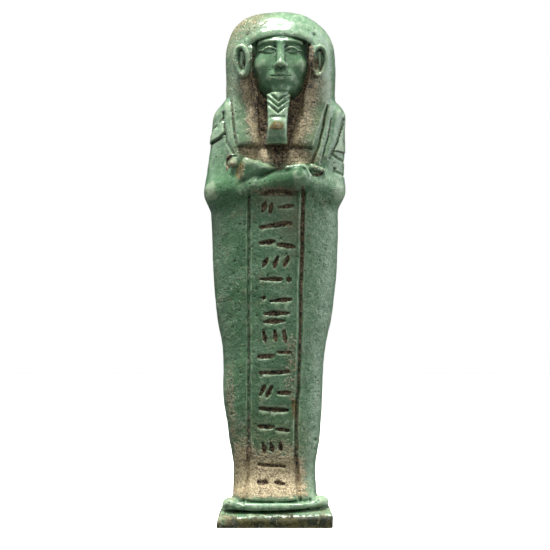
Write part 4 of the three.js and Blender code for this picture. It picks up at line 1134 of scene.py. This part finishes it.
def faience():
    m = Nodes("glazed_faience")
    soil_and_painted_shade_a, tan_a, olive_a, pale_glaze_and_painted_light_a = (m.attribute(n) for n in ("soil_and_painted_shade", "tan", "olive", "pale_glaze_and_painted_light"))
    cavity_a, hollow_a, rim_a, amber_a = (m.attribute(n) for n in ("cavity", "hollow", "rim", "amber"))
    gloss_a = m.attribute("gloss")
    sandy = m.math("MULTIPLY_ADD", gloss_a, -0.8, 1.0)
    big = m.noise(19, 3, 0.55, 0.4)
    mid = m.noise(4.2, 4, 0.6, 0.3)
    fine = m.noise(1.0, 4, 0.68)
    grain = m.noise(0.45, 2, 0.65, 0.6)
    grit = m.noise(0.24, 2, 0.7)
    # glaze: mottled green, deeper where it pooled, thin and pale where it ran off; the darkening in hollows and
    # creases is partly painted shade, and the paler parts partly painted light
    colour = m.mix(m.ramp(big, 0.32, 0.68), rgb(82, 124, 86), rgb(102, 144, 106))
    # paler where the glaze is thin, and painted light on the lit tops and the right side
    colour = m.mix(m.math("MULTIPLY", pale_glaze_and_painted_light_a, 0.62), colour, rgb(158, 190, 160))
    colour = m.mix(m.ramp(mid, 0.5, 0.72, 0, 0.5), colour, rgb(142, 178, 148))
    colour = m.mix(m.ramp(mid, 0.5, 0.32, 0, 0.5), colour, rgb(72, 118, 86))
    colour = m.mix(m.math("MULTIPLY", m.ramp(m.noise(2.7, 3, 0.6), 0.54, 0.66, 0, 0.3), sandy), colour, rgb(122, 112, 86))
    colour = m.mix(m.math("MULTIPLY", m.ramp(fine, 0.47, 0.33, 0, 0.6), m.math("MULTIPLY_ADD", gloss_a, -0.45, 1.0)), colour, rgb(56, 96, 70))
    colour = m.mix(m.math("MULTIPLY", m.ramp(grain, 0.46, 0.32, 0, 0.8), sandy), colour, rgb(46, 72, 48))
    # pale specks: frosting in the glaze and painted glints, more where the glaze is pale and lit
    frost_and_glint_at = m.math("MULTIPLY_ADD", fine, 0.5, m.math("MULTIPLY", grain, 0.5))
    frost_and_painted_glint = m.math("MULTIPLY", m.ramp(frost_and_glint_at, 0.5, 0.62), m.math("MULTIPLY_ADD", pale_glaze_and_painted_light_a, 0.55, 0.14))
    colour = m.mix(frost_and_painted_glint, colour, rgb(190, 210, 184))
    # painted shade with pooled glaze: deeper green in the wide hollows, near black-green in the creases
    colour = m.mix(m.ramp(hollow_a, 0.1, 0.9, 0, 0.6), colour, rgb(44, 94, 70))
    colour = m.mix(m.ramp(cavity_a, 0.1, 0.9, 0, 0.8), colour, rgb(28, 60, 42))
    colour = m.mix(m.ramp(rim_a, 0.3, 1.0, 0, 0.5), colour, rgb(186, 208, 172))
    # everything below is broken up by the same coarse grain
    breakup = m.math("MULTIPLY_ADD", grain, 1.3, m.math("MULTIPLY_ADD", fine, 1.3, m.math("MULTIPLY", mid, 0.9)))
    breakup = m.math("SUBTRACT", breakup, 1.75)
    stain_f = m.math("MULTIPLY", m.attribute("stain"), m.ramp(mid, 0.3, 0.62, 0.45, 0.95))
    colour = m.mix(stain_f, colour, m.mix(m.ramp(grain, 0.4, 0.6), rgb(98, 90, 58), rgb(162, 152, 112)))
    # tan wear
    tan_f = m.ramp(m.math("ADD", tan_a, breakup), 0.26, 0.86, 0, 0.96)
    clod = m.noise(0.62, 2, 0.62, 0.5)
    tan_c = m.mix(m.ramp(grain, 0.4, 0.58), rgb(136, 116, 84), rgb(216, 198, 162))
    tan_c = m.mix(m.ramp(mid, 0.38, 0.62, 0, 0.45), tan_c, rgb(158, 150, 112))
    tan_c = m.mix(m.ramp(clod, 0.46, 0.34, 0, 0.75), tan_c, rgb(82, 64, 42))
    colour = m.mix(tan_f, colour, tan_c)
    amber_f = m.ramp(m.math("MULTIPLY_ADD", breakup, 0.8, amber_a), 0.3, 0.8, 0, 0.9)
    colour = m.mix(amber_f, colour, m.mix(m.ramp(grain, 0.4, 0.6), rgb(78, 60, 26), rgb(140, 116, 62)))
    # dark soil, and painted shade under the lappets, under the beard and in the creases
    soil_and_painted_shade_f = m.ramp(m.math("MULTIPLY_ADD", breakup, 0.85, soil_and_painted_shade_a), 0.3, 0.8, 0, 0.97)
    soil_and_painted_shade_c = m.mix(m.ramp(clod, 0.44, 0.58), rgb(30, 23, 12), rgb(134, 114, 82))
    soil_and_painted_shade_c = m.mix(m.ramp(grain, 0.54, 0.64, 0, 0.7), soil_and_painted_shade_c, rgb(196, 176, 142))
    soil_and_painted_shade_c = m.mix(m.ramp(grain, 0.44, 0.34, 0, 0.8), soil_and_painted_shade_c, rgb(24, 17, 9))
    colour = m.mix(soil_and_painted_shade_f, colour, soil_and_painted_shade_c)
    # the plinth: olive and brown
    olive_f = m.ramp(m.math("ADD", olive_a, breakup), 0.35, 0.85, 0, 0.92)
    olive_c = m.mix(m.ramp(m.noise(2.2, 3, 0.6, 0.5), 0.4, 0.6), rgb(36, 32, 13), rgb(98, 90, 48))
    olive_c = m.mix(m.ramp(grain, 0.45, 0.3, 0, 0.7), olive_c, rgb(34, 28, 12))
    olive_c = m.mix(m.ramp(fine, 0.56, 0.68, 0, 0.6), olive_c, rgb(158, 152, 104))
    colour = m.mix(olive_f, colour, olive_c)
    # pores: small dark holes in the glaze
    cell = m.cells(1.15)
    separate = m.new("ShaderNodeSeparateColor")
    m.put(separate.inputs[0], cell.outputs["Color"])
    radius = m.ramp(separate.outputs[0], 0.45, 1.0, 0.0, 0.2, "LINEAR")
    hole = m.ramp(m.math("SUBTRACT", cell.outputs["Distance"], radius), 0.0, -0.05)
    colour = m.mix(m.math("MULTIPLY", hole, 0.85), colour, rgb(34, 36, 22))
    shader = m.new("ShaderNodeBsdfPrincipled")
    m.put(shader.inputs["Base Color"], colour)
    dull = m.math("MAXIMUM", soil_and_painted_shade_f, m.math("MULTIPLY", tan_f, 0.8))
    rough = m.math("ADD", m.ramp(mid, 0.3, 0.7, 0.07, 0.17), m.math("MULTIPLY", fine, 0.1))
    rough = m.math("MULTIPLY_ADD", sandy, 0.14, rough)
    rough = m.math("MULTIPLY_ADD", dull, 0.4, rough, clamp=True)
    m.put(shader.inputs["Roughness"], rough)
    shader.inputs["IOR"].default_value = 1.55
    height = m.math("ADD", m.math("MULTIPLY", fine, 0.8), m.math("MULTIPLY", grain, 0.42))
    height = m.math("MULTIPLY", height, m.math("MULTIPLY_ADD", sandy, 0.75, 0.12))
    height = m.math("ADD", height, m.math("MULTIPLY", mid, 0.6))
    height = m.math("SUBTRACT", height, m.math("MULTIPLY", hole, 0.8))
    height = m.math("ADD", height, m.math("MULTIPLY", m.math("MULTIPLY", m.math("ADD", grain, grit), dull), 0.7))
    bump = m.new("ShaderNodeBump")
    bump.inputs["Strength"].default_value = 1.0
    bump.inputs["Distance"].default_value = 0.3 * MM
    m.put(bump.inputs["Height"], height)
    m.put(shader.inputs["Normal"], bump.outputs["Normal"])
    out = m.new("ShaderNodeOutputMaterial")
    m.put(out.inputs["Surface"], shader.outputs[0])
    for node in list(m.tree.nodes):
        if not any(o.is_linked for o in node.outputs) and node != out:
            m.tree.nodes.remove(node)
    return m.material


mesh.materials.append(faience())
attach(figure, "root")
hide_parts(NODE)

# ------------------------------------------------------------------ floor, light, camera
floor_mesh = bpy.data.meshes.new("floor")
R = 4.0
ring = [(R * math.cos(t), R * math.sin(t), 0.0) for t in np.linspace(0, 2 * math.pi, 96, endpoint=False)]
floor_mesh.from_pydata(ring, [], [tuple(range(96))])
floor = bpy.data.objects.new("floor", floor_mesh)
bpy.context.scene.collection.objects.link(floor)
pale_floor = bpy.data.materials.new("pale_floor")
pale_floor.use_nodes = True
p = pale_floor.node_tree.nodes["Principled BSDF"]
p.inputs["Base Color"].default_value = (0.82, 0.82, 0.82, 1)
p.inputs["Roughness"].default_value = 0.85
p.inputs["Specular IOR Level"].default_value = 0.2
floor_mesh.materials.append(pale_floor)


def area_light(name, place, aim, size, watts, colour=(1, 1, 1), size_y=None):
    data = bpy.data.lights.new(name, "AREA")
    data.energy, data.color, data.size = watts, colour, size
    if size_y:
        data.shape, data.size_y = "RECTANGLE", size_y
    obj = bpy.data.objects.new(name, data)
    obj.location = place
    obj.rotation_euler = (Vector(aim) - Vector(place)).to_track_quat("-Z", "Y").to_euler()
    bpy.context.scene.collection.objects.link(obj)
    return obj


# a softbox overhead, a small one in front at half height, weaker ones at the sides
area_light("softbox", (-0.1, -0.13, 0.92), (0, 0, 0.09), 0.26, 15.0, (1.0, 0.99, 0.95), 0.22)
area_light("front", (0.06, -0.8, 0.72), (0, 0, 0.07), 0.2, 1.5, (1.0, 1.0, 0.98), 0.2)
area_light("low", (0.15, -1.2, 0.25), (0, 0, 0.06), 0.6, 1.3, (1.0, 1.0, 0.98), 0.4)
area_light("right", (0.95, 0.1, 0.36), (0, 0, 0.06), 0.9, 8.0, (0.97, 1.0, 1.0), 1.1)
area_light("left", (-0.9, 0.12, 0.4), (0, 0, 0.08), 0.9, 3.0, (1.0, 1.0, 0.98), 1.1)
# the floor has its own even light, and throws none back up at the figure
wash = bpy.data.lights.new("floor_wash", "SUN")
wash.energy, wash.angle = 4.0, 0.9
wash_lamp = bpy.data.objects.new("floor_wash", wash)
wash_lamp.location = (0, 0, 1)
bpy.context.scene.collection.objects.link(wash_lamp)
only_floor = bpy.data.collections.new("floor_only")
only_floor.objects.link(floor)
wash_lamp.light_linking.receiver_collection = only_floor
floor.visible_diffuse = False
floor.visible_glossy = False

world = bpy.data.worlds.new("studio")
bpy.context.scene.world = world
world.use_nodes = True
tree = world.node_tree
tree.nodes.clear()
seen = tree.nodes.new("ShaderNodeBackground")
seen.inputs["Color"].default_value = (1, 1, 1, 1)
seen.inputs["Strength"].default_value = 1.0
lit = tree.nodes.new("ShaderNodeBackground")
lit.inputs["Color"].default_value = (0.95, 0.98, 1.0, 1)
lit.inputs["Strength"].default_value = 0.12
which = tree.nodes.new("ShaderNodeLightPath")
both = tree.nodes.new("ShaderNodeMixShader")
out = tree.nodes.new("ShaderNodeOutputWorld")
tree.links.new(which.outputs["Is Camera Ray"], both.inputs[0])
tree.links.new(lit.outputs[0], both.inputs[1])
tree.links.new(seen.outputs[0], both.inputs[2])
tree.links.new(both.outputs[0], out.inputs["Surface"])

bpy.context.scene.view_settings.view_transform = "Standard"
bpy.context.scene.view_settings.look = "None"

# The camera stands low and close, at about a third of the figure's height, and looks a
# little up, so that the whole figure fills the frame.
CAMERA = dict(x=0.1, away=340.0, up=37.0, pitch=3.486, lens_px=1443.0)
camera_data = bpy.data.cameras.new("camera")
camera_data.sensor_width = 36.0
camera_data.lens = CAMERA["lens_px"] * 36.0 / 550.0
camera_data.clip_start, camera_data.clip_end = 0.01, 20.0
camera = bpy.data.objects.new("camera", camera_data)
camera.location = ((CAMERA["x"] + float(shift[0])) * MM, (-CAMERA["away"] + float(shift[1])) * MM, CAMERA["up"] * MM)
camera.rotation_euler = (math.radians(90 + CAMERA["pitch"]), 0, 0)
bpy.context.scene.collection.objects.link(camera)
bpy.context.scene.camera = camera

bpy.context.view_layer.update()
print("total", round(time.perf_counter() - _t0, 1), "s", flush=True)
